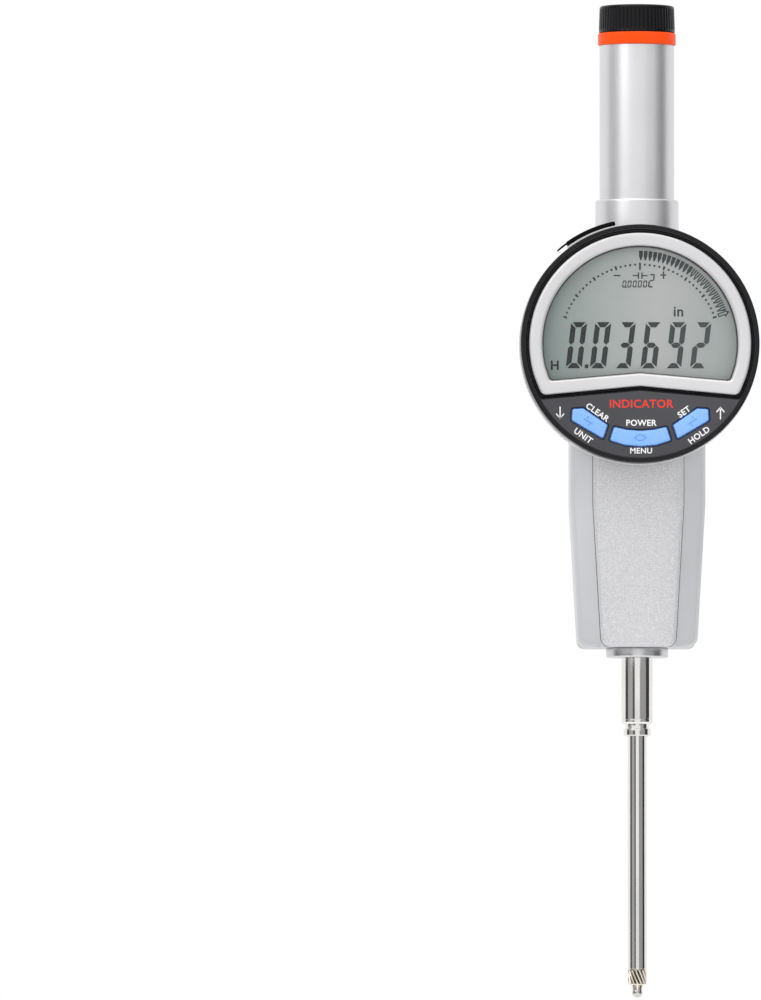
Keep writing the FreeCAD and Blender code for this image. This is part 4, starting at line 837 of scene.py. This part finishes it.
def make_screws(name, node, points, head_face, inward, length, shank, head, head_high):
    """Socket-head screws along Y; inward is -1 when the tip points to -Y."""
    parts = []
    for x, z in points:
        profile = [(0, 0.0), (shank - 0.1, 0.0), (shank, 0.15), (shank, length - head_high), (head,
                                                                                              length - head_high),
                   (head, length - 0.12), (head - 0.12, length), (head * 0.52, length),
                   (head * 0.5, length - 0.05), (head * 0.5, length - head_high * 0.7), (0,
                                                                                         length - head_high * 0.75)]

        def socket(radius, z_here, angle):
            if radius > head * 0.53 * MM or radius < head * 0.3 * MM or z_here < (length - head_high * 0.8) * MM:
                return radius
            sector = (angle % (FULL_TURN / 6)) - FULL_TURN / 12
            return radius * math.cos(FULL_TURN / 12) / math.cos(sector)

        part = lathe(name, scaled(profile), 72, socket)
        start = head_face + inward * length * MM
        turn = Matrix(((1, 0, 0, x), (0, 0, -inward, start), (0, inward, 0, z), (0, 0, 0, 1)))
        part.data.transform(turn)
        parts.append(part)
    piece = join(name + "s", parts)
    finish_piece(piece, "dark_steel", node, 30.0)


# ---------------------------------------------------------------- head

CASE_REAR = high("head_case").y
RIM_RADIUS = high("head_case").z - HEAD_HEIGHT
BEZEL_FRONT = low("bezel").y
KEYPAD_FRONT = BEZEL_FRONT + 0.3 * MM
GLASS_FRONT = low("display_glass").y
CASE_SCREWS = [polar(27.4 * MM, a) for a in (45, 135, 208, 332)]
SIDE_KEY = [(8.35, -20.7), (9.45, -24.05), (17.3, -19.45), (17.15, -16.7), (14.5, -16.5)]
KEY_OUTLINES = {
    "key_left": [(-x, z) for x, z in reversed(SIDE_KEY)],
    "key_centre": [(-6.6, -21.2), (-7.65, -24.5), (-4.0, -25.65), (0.0, -26.0), (4.0, -25.65),
                   (7.65, -24.5), (6.6, -21.2), (3.4, -21.95), (0.0, -22.2), (-3.4, -21.95)],
    "key_right": SIDE_KEY,
}


def y_turned(name, profile, radii, segments, shape=None):
    """A lathe about the head's axis from a millimetre (radius, depth) outline."""
    return facewise(lathe(name, rounded(scaled(profile), [value * MM for value in radii], 4), segments,
                          shape))


def make_case():
    rim = mm(RIM_RADIUS)

    def grips(radius, depth, angle):
        if radius < (rim - 0.02) * MM or not -19.6 * MM <= depth <= -14.6 * MM:
            return radius
        degrees = math.degrees(angle) % 360
        if min(degrees, 360 - degrees) < 22:
            return radius
        place = (degrees - 143 + 14.4) % 28.8 - 14.4
        if abs(place) > 5.4:
            return radius
        offset = (place + 1.1) % 2.2 - 1.1
        return radius - 0.45 * MM * max(0.0, 1 - abs(offset) / 0.72)

    profile = [(rim - 0.12, -21.0), (rim, -20.88), (rim, -19.62), (rim, -19.58), (rim, -14.62), (rim, -14.58),
               (rim, -14.4), (rim - 0.06, -14.1), (rim - 0.23, -13.84), (rim - 0.5, -13.66), (rim - 0.8,
                                                                                              -13.6),
               (9.1, -13.6), (8.95, -13.75), (8.95, -15.1), (28.7, -15.1), (28.7, -21.0)]
    case = y_turned("case_ring", profile, [0] * len(profile), 1440, grips)
    tray_gap = 0.15
    cutters = [block("tray_gap", scaled([(24.7, -20.1 - tray_gap, mm(HEAD_HEIGHT) - 10.9 - tray_gap)])[0],
                     scaled([(33, -16.6 + tray_gap, mm(HEAD_HEIGHT) + 10.9 + tray_gap)])[0])]
    port = block("port_gap", scaled([(26.7, -19.9, -4.9)])[0], scaled([(33, -16.7, 4.9)])[0])
    port.data.transform(Matrix.Translation((0, 0, HEAD_HEIGHT)) @ Matrix.Rotation(math.radians(-113.5), 4,
                                                                                  "Y"))
    cutters.append(port)
    for x, z in CASE_SCREWS:
        cutters.append(rod_along_y("bore", x, HEAD_HEIGHT + z, 0.72 * MM, -16 * MM, -13 * MM, 32))
        cutters.append(rod_along_y("sink", x, HEAD_HEIGHT + z, 1.3 * MM, -14.6 * MM, -13 * MM, 48))
    stop_x = 12.6 * MM
    cutters.append(rod_along_y("stop", stop_x, HEAD_HEIGHT, 0.6 * MM, -16 * MM, -13 * MM, 32))
    carve(case, cutters)
    finish_piece(case, "case_silver", "head_case", 26.0)
    make_screws("case_screw", "case_screws", [(x, HEAD_HEIGHT + z) for x, z in CASE_SCREWS],
                CASE_REAR - 0.1 * MM, -1, 10, 0.7, 1.2, 0.9)


def make_bezel():
    rim = mm(high("bezel").x)
    profile = [(0, -27.7), (rim - 1.3, -27.7), (rim - 1.12, -27.72), (rim - 1.02, -27.86), (rim - 0.92,
                                                                                            -27.97),
               (rim - 0.8, -28.0), (rim - 0.42, -28.0), (rim - 0.2, -27.93), (rim - 0.06, -27.78), (rim,
                                                                                                    -27.55),
               (rim, -21.95), (rim - 0.12, -21.85), (rim - 0.12, -21.6), (rim, -21.5), (rim, -21.1),
               (rim - 0.1, -21.0), (29.6, -21.0), (29.6, -21.4), (28.7, -21.4), (28.7, -25.7), (0, -25.7)]
    shell = y_turned("bezel_shell", profile, [0] * len(profile), 360)

    def well(inset):
        return scaled(display_points(29.0 - inset, -13.9 + inset, -11.55 + inset, 1.6))

    def tool(name, stages):
        return loft(name, [on_face(points, depth * MM) for points, depth in stages])

    well_tool = tool("well", [(well(-0.25), -29.0), (well(-0.25), -27.72), (well(0), -27.45), (well(0),
                                                                                               -26.7)])
    opening = scaled(display_points(25.1, -10.0, -8.0, 1.2))
    opening_tool = tool("opening", [(opening, -27.2), (opening, -25.0)])
    cutters = [well_tool, opening_tool]
    for name, outline in KEY_OUTLINES.items():
        def gap(distance, points=outline):
            grown = offset_outline(scaled(points), distance * MM)
            return rounded(grown, [0.7 * MM] * len(grown), 5)
        cutters.append(tool(name + "_gap", [(gap(0.42), -29.0), (gap(0.42), -27.71), (gap(0.3), -27.5),
                                            (gap(0.3), -25.0)]))
    carve(shell, cutters)
    finish_piece(shell, "bezel_black", "bezel", 26.0)

    def plate_well(inset):
        return scaled(display_points(29.4 - inset, -14.35 + inset, -12.0 + inset, 1.6))
    face = [(0, -27.74), (rim - 1.42, -27.74), (rim - 1.34, -27.72), (rim - 1.3, -27.66), (0, -27.66)]
    plate = y_turned("keypad_plate", face, [0] * len(face), 360)
    cutters = [tool("plate_well", [(plate_well(0), -29.0), (plate_well(0), -26.0)])]
    for name, outline in KEY_OUTLINES.items():
        grown = offset_outline(scaled(outline), 0.5 * MM)
        grown = rounded(grown, [0.8 * MM] * len(grown), 5)
        cutters.append(tool(name + "_plate_gap", [(grown, -29.0), (grown, -25.0)]))
    carve(plate, cutters)
    finish_piece(plate, "bezel_grey", "bezel", 26.0, replaces=False)

    # Painted shade: a gloss black band on the inner foot of the bezel's raised rim, next to the keypad plate.
    outer = mm(high("bezel").x)
    band = [(outer - 1.26, -27.72), (outer - 1.26, -27.69), (outer - 1.02, -27.69), (outer - 1.02, -27.84),
            (outer - 1.10, -27.76)]
    finish_piece(y_turned("bezel_inner_painted_shade", band, [0] * len(band), 360), "gloss_black", "port_cover", 26.0,
                 replaces=False, body="head")

    # Painted shade: a gloss black trough in the gap round the display surround, darker than the bezel's own black.
    def moat(radius, corner, peak):
        return scaled(display_points(radius, corner, peak, 1.6))
    loops = [on_face(moat(28.95, -13.85, -11.5), -26.75 * MM), on_face(moat(28.95, -13.85, -11.5),
                                                                       -27.35 * MM),
             on_face(moat(28.75, -13.65, -11.3), -27.52 * MM), on_face(moat(28.5, -13.5, -11.15),
                                                                       -27.35 * MM),
             on_face(moat(28.2, -13.2, -10.85), -26.75 * MM)]
    groove = loft("display_groove_painted_shade", loops, closed=True)
    finish_piece(groove, "gloss_black", "port_cover", 40.0, replaces=False, body="head")


def make_display():
    def ring(radius_outer, inset, depth):
        return on_face(scaled(display_points(radius_outer[0] - inset, radius_outer[1] + inset,
                                             radius_outer[2] + inset, radius_outer[3])), depth * MM)

    outside = (28.1, -13.1, -10.75, 1.8)
    window = (24.8, -9.5, -7.5, 1.3)
    seat = (26.5, -11.3, -9.2, 1.2)
    loops = [ring(outside, 0, -26.7), ring(outside, 0, -27.6), ring(outside, 0.05, -27.84), ring(outside,
                                                                                                 0.19,
                                                                                                 -28.07),
             ring(outside, 0.38, -28.21), ring(outside, 0.62, -28.27), ring(outside, 1.1, -28.3),
             ring(window, -0.75, -28.27), ring(window, -0.5, -28.2), ring(window, -0.28, -28.05),
             ring(window, -0.1, -27.85), ring(window, -0.02, -27.62), ring(window, 0, -27.5), ring(seat, 0,
                                                                                                   -27.5),
             ring(seat, 0, -26.7)]
    frame_piece = loft("display_surround", loops, closed=True)
    finish_piece(frame_piece, "frame_grey", "display_frame", 40.0)

    pane = (26.4, -11.2, -9.1, 1.2)
    loops = [ring(pane, 0.15, -26.7), ring(pane, 0, -26.82), ring(pane, 0, -27.36), ring(pane, 0.15, -27.495)]
    finish_piece(loft("lens_window", loops), "lens_clear", "lens", 30.0)

    panel = (25.3, -10.3, -8.3, 1.2)
    rear, front = mm(high("display_glass").y), mm(GLASS_FRONT)
    loops = [ring(panel, 0.05, rear), ring(panel, 0, rear - 0.05), ring(panel, 0, front + 0.08),
             ring(panel, 0.06, front)]
    finish_piece(loft("display_panel", loops), "display_grey", "display_glass", 30.0)

    # Painted shade: a thin dark rim on the display round the window's edge, where the surround shades it.
    loops = [ring(window, -0.2, front), ring(window, -0.2, front - 0.9), ring(window, 0.0, front - 0.9),
             ring(window, 0.34, front - 0.05), ring(window, 0.34, front)]
    finish_piece(loft("display_edge_painted_shade", loops, closed=True), "black_plastic", "port_cover", 40.0,
                 replaces=False, body="head")


SEGMENTS_OF = {"0": "abcdef", "2": "abged", "3": "abgcd", "6": "afgedc", "9": "abcdfg"}
DIGIT_SLANT = math.tan(math.radians(7))


def digit_shapes(character, x, z, width, height, stroke):
    """Seven-segment strokes of one digit, slanted to the right."""
    gap = stroke * 0.10
    half = stroke / 2
    middle = height / 2
    shapes = []

    def level(z_line, left, right, up, down):
        return [(left, z_line), (left + half, z_line + up), (right - half, z_line + up), (right, z_line),
                (right - half, z_line - down), (left + half, z_line - down)]

    left, right = half + gap, width - half - gap
    for segment in SEGMENTS_OF[character]:
        if segment == "g":
            shape = level(middle, left, right, half, half)
        elif segment == "a":
            shape = [(left - half * 0.6, height), (right + half * 0.6, height), (right - half * 0.9,
                                                                                 height - stroke),
                     (left + half * 0.9, height - stroke)]
        elif segment == "d":
            shape = [(left + half * 0.9, stroke), (right - half * 0.9, stroke), (right + half * 0.6, 0),
                     (left - half * 0.6, 0)]
        else:
            right_side = segment in "bc"
            outer = width if right_side else 0
            inner = width - stroke if right_side else stroke
            centre = (outer + inner) / 2
            if segment in "bf":
                low_z, high_z = middle + gap, height - gap - half * 0.3
                shape = [(outer, high_z), (inner, high_z - stroke * 0.9), (inner, low_z + half * 0.9),
                         (centre, low_z), (outer, low_z + half * 0.9)]
            else:
                low_z, high_z = gap + half * 0.3, middle - gap
                shape = [(outer, low_z), (inner, low_z + stroke * 0.9), (inner, high_z - half * 0.9),
                         (centre, high_z), (outer, high_z - half * 0.9)]
        shapes.append([(x + px + pz * DIGIT_SLANT, z + pz) for px, pz in shape])
    return shapes


def arc_box(radius_low, radius_high, degrees, width_low, width_high):
    """A tapered bar along a radius, widths in millimetres."""
    angle = math.radians(degrees)
    out = Vector((math.cos(angle), math.sin(angle)))
    side = Vector((-out.y, out.x))
    return [tuple(out * radius_high + side * width_high / 2),
            tuple(out * radius_high - side * width_high / 2),
            tuple(out * radius_low - side * width_low / 2), tuple(out * radius_low + side * width_low / 2)]


def make_reading():
    front, rear = GLASS_FRONT - 0.045 * MM, GLASS_FRONT - 0.005 * MM
    dark, mid = [], []
    for character, x in zip("003692", (-18.85, -12.75, -6.5, 0.1, 6.35, 12.65)):
        dark += digit_shapes(character, x, -6.2, 4.05, 11.7, 1.32)
    dark.append([(-14.05, -6.2), (-13.15, -6.2), (-13.05, -5.25), (-13.95, -5.25)])

    bars = 24
    for i in range(bars):
        degrees = 89.4 - 3.02 * i
        angle = math.radians(degrees)
        out, side = Vector((math.cos(angle), math.sin(angle))), Vector((-math.sin(angle), math.cos(angle)))

        def shield(corners, across=side, along=out):
            return [tuple(along * r + across * w) for r, w in corners]

        if i < 12:
            dark.append(shield([(23.6, 0.5), (23.6, -0.5), (22.3, -0.47), (21.2, -0.14), (21.2, 0.14), (22.3,
                                                                                                        0.47)]))
        elif i < bars - 1:
            for turn in (1, -1):
                wall = [(23.6, 0.5 * turn), (23.6, 0.13 * turn), (22.4, 0.13 * turn), (22.4, 0.47 * turn)]
                foot = [(22.4, 0.47 * turn), (22.4, 0.09 * turn), (21.6, 0.0), (21.2, 0.0), (21.2,
                                                                                             0.14 * turn)]
                for part in (wall, foot):
                    dark.append(shield(part if turn == 1 else part[::-1]))
        else:
            rim = [(24.1, 0.0), (22.7, -1.05), (22.7, -0.5), (21.0, -0.5), (21.0, 0.5), (22.7, 0.5), (22.7,
                                                                                                      1.05)]
            hole = [(23.5, 0.0), (22.95, -0.42), (22.95, -0.2), (21.3, -0.2), (21.3, 0.2), (22.95, 0.2),
                    (22.95, 0.42)]
            for j in range(7):
                k = (j + 1) % 7
                dark.append(shield([rim[j], rim[k], hole[k], hole[j]]))

    step = 17.6
    for k in range(9):
        degrees = 90 + step * (4 - k)
        longer = 1.9 if k == 4 else 1.0
        mid.append(arc_box(20.6 - longer, 20.6, degrees, 0.46, 0.54))
        if k < 8:
            for dot in range(1, 5):
                x, z = polar(20.1, degrees - step * dot / 5)
                mid.append([(x + 0.29 * math.cos(a), z + 0.29 * math.sin(a))
                            for a in (FULL_TURN * i / 10 for i in range(10))])

    def bar(x, z, width, height):
        return [(x - width / 2, z - height / 2), (x + width / 2, z - height / 2), (x + width / 2,
                                                                                   z + height / 2),
                (x - width / 2, z + height / 2)]

    mid += [bar(-5.8, 17.3, 1.7, 0.36), bar(5.95, 17.45, 1.5, 0.36), bar(5.95, 18.03, 0.36, 0.74),
            bar(5.95, 16.87, 0.36, 0.74), bar(-1.2, 17.3, 1.3, 0.3), bar(1.3, 17.3, 1.3, 0.3),
            bar(-0.4, 17.3, 0.34, 1.6), bar(0.5, 17.3, 0.34, 1.6)]
    for i in range(5):
        mid += digit_shapes("0", -4.55 + 1.31 * i, 14.3, 0.98, 1.75, 0.27)
    mid.append(bar(-3.5, 14.3, 0.32, 0.32))
    mid += digit_shapes("2", 2.0, 14.3, 1.4, 3.4, 0.34)
    dark += [bar(-22.35, -5.45, 0.5, 2.4), bar(-20.85, -5.45, 0.5, 2.4), bar(-21.6, -5.45, 1.0, 0.45)]

    finish_piece(flat_shapes("reading_digits", [scaled(shape) for shape in dark], front, rear),
                 "segment_dark", "display_glass", 30.0, replaces=False)
    finish_piece(flat_shapes("reading_scale", [scaled(shape) for shape in mid], front, rear), "segment_mid",
                 "display_glass", 30.0, replaces=False)
    unit = lettering("reading_unit", [("in", 9.75, 8.1, 2.55, 0)], GLASS_FRONT - 0.025 * MM, 0.04 * MM)
    finish_piece(unit, "segment_mid", "display_glass", 30.0, replaces=False)


def make_keys():
    for name, outline in KEY_OUTLINES.items():
        base = scaled(outline)
        front, rear = mm(low(name).y), mm(high(name).y)

        def ring(distance, depth, curve=0.5, points=base):
            grown = offset_outline(points, distance * MM)
            return on_face(rounded(grown, [curve * MM] * len(grown), 6), depth * MM)

        loops = [ring(0.5, rear), ring(0.5, rear - 0.5), ring(0, rear - 0.55), ring(0, front + 0.42),
                 ring(-0.03, front + 0.3), ring(-0.1, front + 0.18), ring(-0.22, front + 0.09),
                 ring(-0.4, front + 0.04), ring(-0.62, front + 0.015, 0.35), ring(-0.8, front, 0.3)]
        key = loft(name.replace("key_", "") + "_key", loops)
        finish_piece(key, "key_blue", name, 40.0)

    face = low("key_centre").y

    def stroke(points, width):
        """Thin bars along a run of points."""
        made = []
        for (x0, z0), (x1, z1) in zip(points, points[1:]):
            along = Vector((x1 - x0, z1 - z0)).normalized()
            side = Vector((-along.y, along.x)) * width / 2
            a, b = Vector((x0, z0)), Vector((x1, z1))
            made.append([tuple(a - side), tuple(b - side), tuple(b + side), tuple(a + side)])
        return made

    marks = {
        "key_left": stroke([(-14.3, -19.1), (-12.1, -20.5)], 0.3) + stroke([(-13.2, -20.9), (-12.9, -20.4)],
                                                                           0.3)
        + stroke([(-13.4, -19.0), (-13.1, -18.5)], 0.3),
        "key_centre": stroke([(-1.5, -23.9), (-0.5, -23.2), (0.5, -23.2), (1.5, -23.9), (0.5, -24.6), (-0.5,
                                                                                                       -24.6),
                              (-1.5, -23.9)], 0.26),
        "key_right": stroke([(12.1, -20.5), (14.3, -19.1)], 0.3) + stroke([(12.9, -20.4), (13.2, -20.9)], 0.3)
        + stroke([(13.1, -18.5), (13.4, -19.0)], 0.3),
    }
    for name, shapes in marks.items():
        piece = flat_shapes(name.replace("key_", "") + "_key_mark", [scaled(shape) for shape in shapes],
                            face - 0.035 * MM, face + 0.05 * MM)
        finish_piece(piece, "key_mark", name, 30.0, replaces=False)


def arrow_shapes(x, z, height, up):
    """A plain arrow made of a shaft and a head, in millimetres."""
    sign = 1 if up else -1
    tip = z + sign * height / 2
    shapes = [[(x - 0.15, z - sign * height / 2), (x + 0.15, z - sign * height / 2), (x + 0.15,
                                                                                      tip - sign * 0.25),
               (x - 0.15, tip - sign * 0.25)]]
    for side in (1, -1):
        wing = [(x, tip), (x, tip - sign * 0.5), (x + side * 0.95, tip - sign * 1.55), (x + side * 1.05,
                                                                                        tip - sign * 1.2)]
        shapes.append(wing)
    return [shape if polygon_area(shape) > 0 else shape[::-1] for shape in shapes]


def polygon_area(points):
    return sum(a[0] * b[1] - b[0] * a[1] for a, b in zip(points, points[1:] + points[:1])) / 2


def make_legends():
    depth = KEYPAD_FRONT - 0.055 * MM
    words = [("CLEAR", -10.9, -17.5, 1.5, -35), ("UNIT", -14.5, -23.45, 1.5, -35), ("POWER", 0.2, -20.2, 1.5,
                                                                                    0),
             ("MENU", 0.2, -27.25, 1.4, 0), ("SET", 11.1, -17.4, 1.5, 35), ("HOLD", 14.9, -23.3, 1.5, 35)]
    finish_piece(lettering("key_labels", words, depth, 0.05 * MM), "ink_white", "lens", 30.0, replaces=False)
    shapes = arrow_shapes(-20.3, -17.6, 3.2, False) + arrow_shapes(20.3, -17.6, 3.2, True)
    arrows = flat_shapes("side_arrows", [scaled(shape) for shape in shapes], depth - 0.025 * MM,
                         depth + 0.03 * MM)
    finish_piece(arrows, "ink_white", "lens", 30.0, replaces=False)
    title = [("INDICATOR", 0.2, -15.4, 2.0, 0)]
    finish_piece(lettering("red_word", title, depth, 0.05 * MM), "ink_red", "colour_ring", 30.0,
                 replaces=False, body="head")


def make_port_cover():
    centre = 113.5
    outer, inner = 32.0, 30.9
    front, rear = -20.6, -15.6

    def section(degrees, r_low, r_high, y_low, y_high, curve):
        corners = rounded(scaled([(r_low, y_low), (r_high, y_low), (r_high, y_high), (r_low, y_high)]),
                          [curve * MM] * 4, 4)
        a = math.radians(degrees)
        return [(r * math.cos(a), y, HEAD_HEIGHT + r * math.sin(a)) for r, y in corners]

    half = 12.2
    loops = []
    for i in range(45):
        t = -1 + 2 * i / 44
        lift = max(0.0, abs(t) - 0.985) / 0.015
        shrink = 0.16 * lift ** 2
        loops.append(section(centre + half * t, inner + 0.01, outer - shrink, front + shrink, rear - shrink,
                             0.28))
    strip = loft("port_strip", loops)
    middle = (front + rear) / 2
    tail = []
    for i in range(25):
        t = i / 24
        width = 1.3 - 0.55 * t ** 3
        tail.append(section(centre + half - 0.8 + (131.0 - centre - half + 0.8) * t, 31.42,
                            31.88 - 0.1 * t ** 4,
                            middle - width, middle + width, 0.14))
    pull = loft("port_tab", tail)
    plug = loft("port_plug", [
        [(x, y, z) for x, y in rounded(scaled([(27.6 + inset, -19.6 + inset), (31.1, -19.6 + inset),
                                              (31.1, -17.0 - inset), (27.6 + inset,
                                                                      -17.0 - inset)]), [0.1 * MM] * 4, 3)]
        for inset, z in ((0.2, -4.6 * MM), (0, -4.4 * MM), (0, 4.4 * MM), (0.2, 4.6 * MM))])
    plug.data.transform(Matrix.Translation((0, 0, HEAD_HEIGHT)) @ Matrix.Rotation(math.radians(-centre), 4,
                                                                                  "Y"))
    piece = join("port_cover_strip", [strip, pull, plug])
    finish_piece(piece, "port_black", "port_cover", 40.0)

    def seat_frame(degrees):
        a = math.radians(degrees)
        corners = rounded(scaled([(30.25, -20.7), (30.86, -20.7), (30.86, -15.5), (30.25, -15.5)]),
                          [0.08 * MM] * 4, 3)
        return [(r * math.cos(a), y, HEAD_HEIGHT + r * math.sin(a)) for r, y in corners]

    seat = loft("port_seat", [seat_frame(centre - half - 0.5 + (2 * half + 1) * i / 40) for i in range(41)])
    opening = block("seat_gap", (26.7 * MM, -19.9 * MM, -4.9 * MM), (33 * MM, -16.7 * MM, 4.9 * MM))
    opening.data.transform(Matrix.Translation((0, 0, HEAD_HEIGHT)) @ Matrix.Rotation(math.radians(-centre),
                                                                                     4, "Y"))
    carve(seat, [opening])
    finish_piece(seat, "case_silver", "head_case", 30.0, replaces=False)


def make_tray():
    front, rear = low("battery_tray").y, high("battery_tray").y
    radius = high("battery_tray").x
    half = 10.9 * MM
    reach = math.asin(half / radius)
    rim = [(radius * math.cos(a),
            radius * math.sin(a)) for a in (-reach + 2 * reach * i / 40 for i in range(41))]
    outline = rounded([(3 * MM, -half)] + rim + [(3 * MM, half)], [0.6 * MM] + [0] * 41 + [0.6 * MM], 5)

    def level(inset, depth):
        centre = Vector((16 * MM, 0))
        grown = []
        for point in outline:
            spot = Vector(point) - centre
            grown.append(tuple(centre + spot * (1 - inset * MM / spot.length)))
        return on_face(grown, depth)

    tray = loft("drawer_tray", [level(0.15, front), level(0, front + 0.12 * MM), level(0, rear - 0.12 * MM),
                                level(0.15, rear)])
    pocket = rod_along_y("pocket", 14.5 * MM, HEAD_HEIGHT, 10.0 * MM, front - MM, rear - 0.3 * MM, 128)
    nail = block("nail", (radius - 0.5 * MM, front + 1.0 * MM, HEAD_HEIGHT - 2.4 * MM),
                 (radius + MM, front + 2.1 * MM, HEAD_HEIGHT + 2.4 * MM))
    carve(tray, [pocket, nail])
    finish_piece(tray, "black_plastic", "battery_tray", 28.0)

    top, bottom = mm(low("battery").y), mm(high("battery").y)
    cell = lathe("cell", rounded(scaled([(0, bottom), (9.99, bottom), (9.99, top + 0.5), (9.0, top + 0.45),
                                         (8.8, top), (0, top)]), [0, 0.35 * MM, 0.2 * MM, 0.1 * MM,
                                                                  0.15 * MM, 0], 4), 128)
    cell.name = "coin_cell"
    facewise(cell, 14.5 * MM)
    finish_piece(cell, "satin_steel", "battery", 30.0)


# ---------------------------------------------------------------- studio

def make_floor():
    bpy.ops.mesh.primitive_plane_add(size=8, location=(0, 0, -0.26))
    floor = bpy.context.object
    floor.name = "floor"
    floor.data.materials.append(grained("pale_floor", (0.85, 0.85, 0.86), 60.0, 0.6, 0.8, variation=0.01,
                                        strength=0.02))


def area_light(name, azimuth, elevation, distance, width, height, power, colour=(1, 1, 1)):
    """A soft box that faces the object from an azimuth and elevation seen from the front."""
    data = bpy.data.lights.new(name, "AREA")
    data.shape = "RECTANGLE"
    data.size, data.size_y = width, height
    data.energy = power
    data.color = colour
    lamp = bpy.data.objects.new(name, data)
    a, e = math.radians(azimuth), math.radians(elevation)
    outward = Vector((math.sin(a) * math.cos(e), -math.cos(a) * math.cos(e), math.sin(e)))
    lamp.location = outward * distance + Vector((0, 0, 0.05))
    lamp.rotation_euler = outward.to_track_quat("Z", "Y").to_euler()
    bpy.context.scene.collection.objects.link(lamp)
    return lamp


CARD_DISTANCE = 0.45


def dark_card(name, azimuth_from, azimuth_to, low_z, high_z, level):
    """A dark curved panel in front of the object that shows only in reflections."""
    steps = 12
    points = []
    for i in range(steps + 1):
        a = math.radians(azimuth_from + (azimuth_to - azimuth_from) * i / steps)
        for z in (low_z, high_z):
            points.append((CARD_DISTANCE * math.sin(a), -CARD_DISTANCE * math.cos(a), z))
    faces = [(2 * i, 2 * i + 2, 2 * i + 3, 2 * i + 1) for i in range(steps)]
    card = mesh_object(name, points, faces)
    material = bpy.data.materials.new(name)
    material.use_nodes = True
    tree = material.node_tree
    tree.nodes.clear()
    glow = tree.nodes.new("ShaderNodeEmission")
    glow.inputs["Color"].default_value = (level, level, level * 1.02, 1)
    out = tree.nodes.new("ShaderNodeOutputMaterial")
    link(tree, glow.outputs["Emission"], out.inputs["Surface"])
    card.data.materials.append(material)
    card.visible_camera = False
    card.visible_diffuse = False
    card.visible_shadow = False


def make_studio():
    world = bpy.data.worlds.new("studio")
    world.use_nodes = True
    sky = world.node_tree.nodes["Background"]
    sky.inputs["Color"].default_value = (1, 1, 1, 1)
    sky.inputs["Strength"].default_value = 1.0
    bpy.context.scene.world = world
    scene = bpy.context.scene
    scene.view_settings.view_transform = "Standard"
    scene.view_settings.look = "None"
    area_light("key_light", -48, 38, 1.2, 0.7, 0.9, 4.0)
    area_light("fill_light", 50, 20, 1.4, 0.6, 0.9, 2.0)
    area_light("top_light", 0, 78, 1.1, 0.9, 0.5, 3.0)
    bottom, middle, top = -0.255, 0.022, 0.42
    for name, start, end, level in (("card_left_edge", -97, -72, 0.07), ("card_left_wide", -72, -35, 0.42),
                                    ("card_left_line", -35, -19, 0.10), ("card_right_wide", 18, 66, 0.36),
                                    ("card_right_edge", 66, 97, 0.05)):
        dark_card(name, start, end, bottom, middle, level)
    for name, start, end, level in (("card_upper_left", -97, -56, 0.40), ("card_upper_right", 28, 58, 0.42),
                                    ("card_upper_edge", 58, 97, 0.07)):
        dark_card(name, start, end, middle, top, level)


# ---------------------------------------------------------------- build

make_camera()
materials = make_materials()
for node_name, node in nodes.items():
    node.data.materials.clear()
    node.data.materials.append(materials[SLOT_OF[node_name]])
make_spindle()
make_contact()
make_stem()
make_top()
make_body()
make_panel()
make_back()
make_case()
make_bezel()
make_display()
make_reading()
make_keys()
make_legends()
make_port_cover()
make_tray()
make_floor()
make_studio()
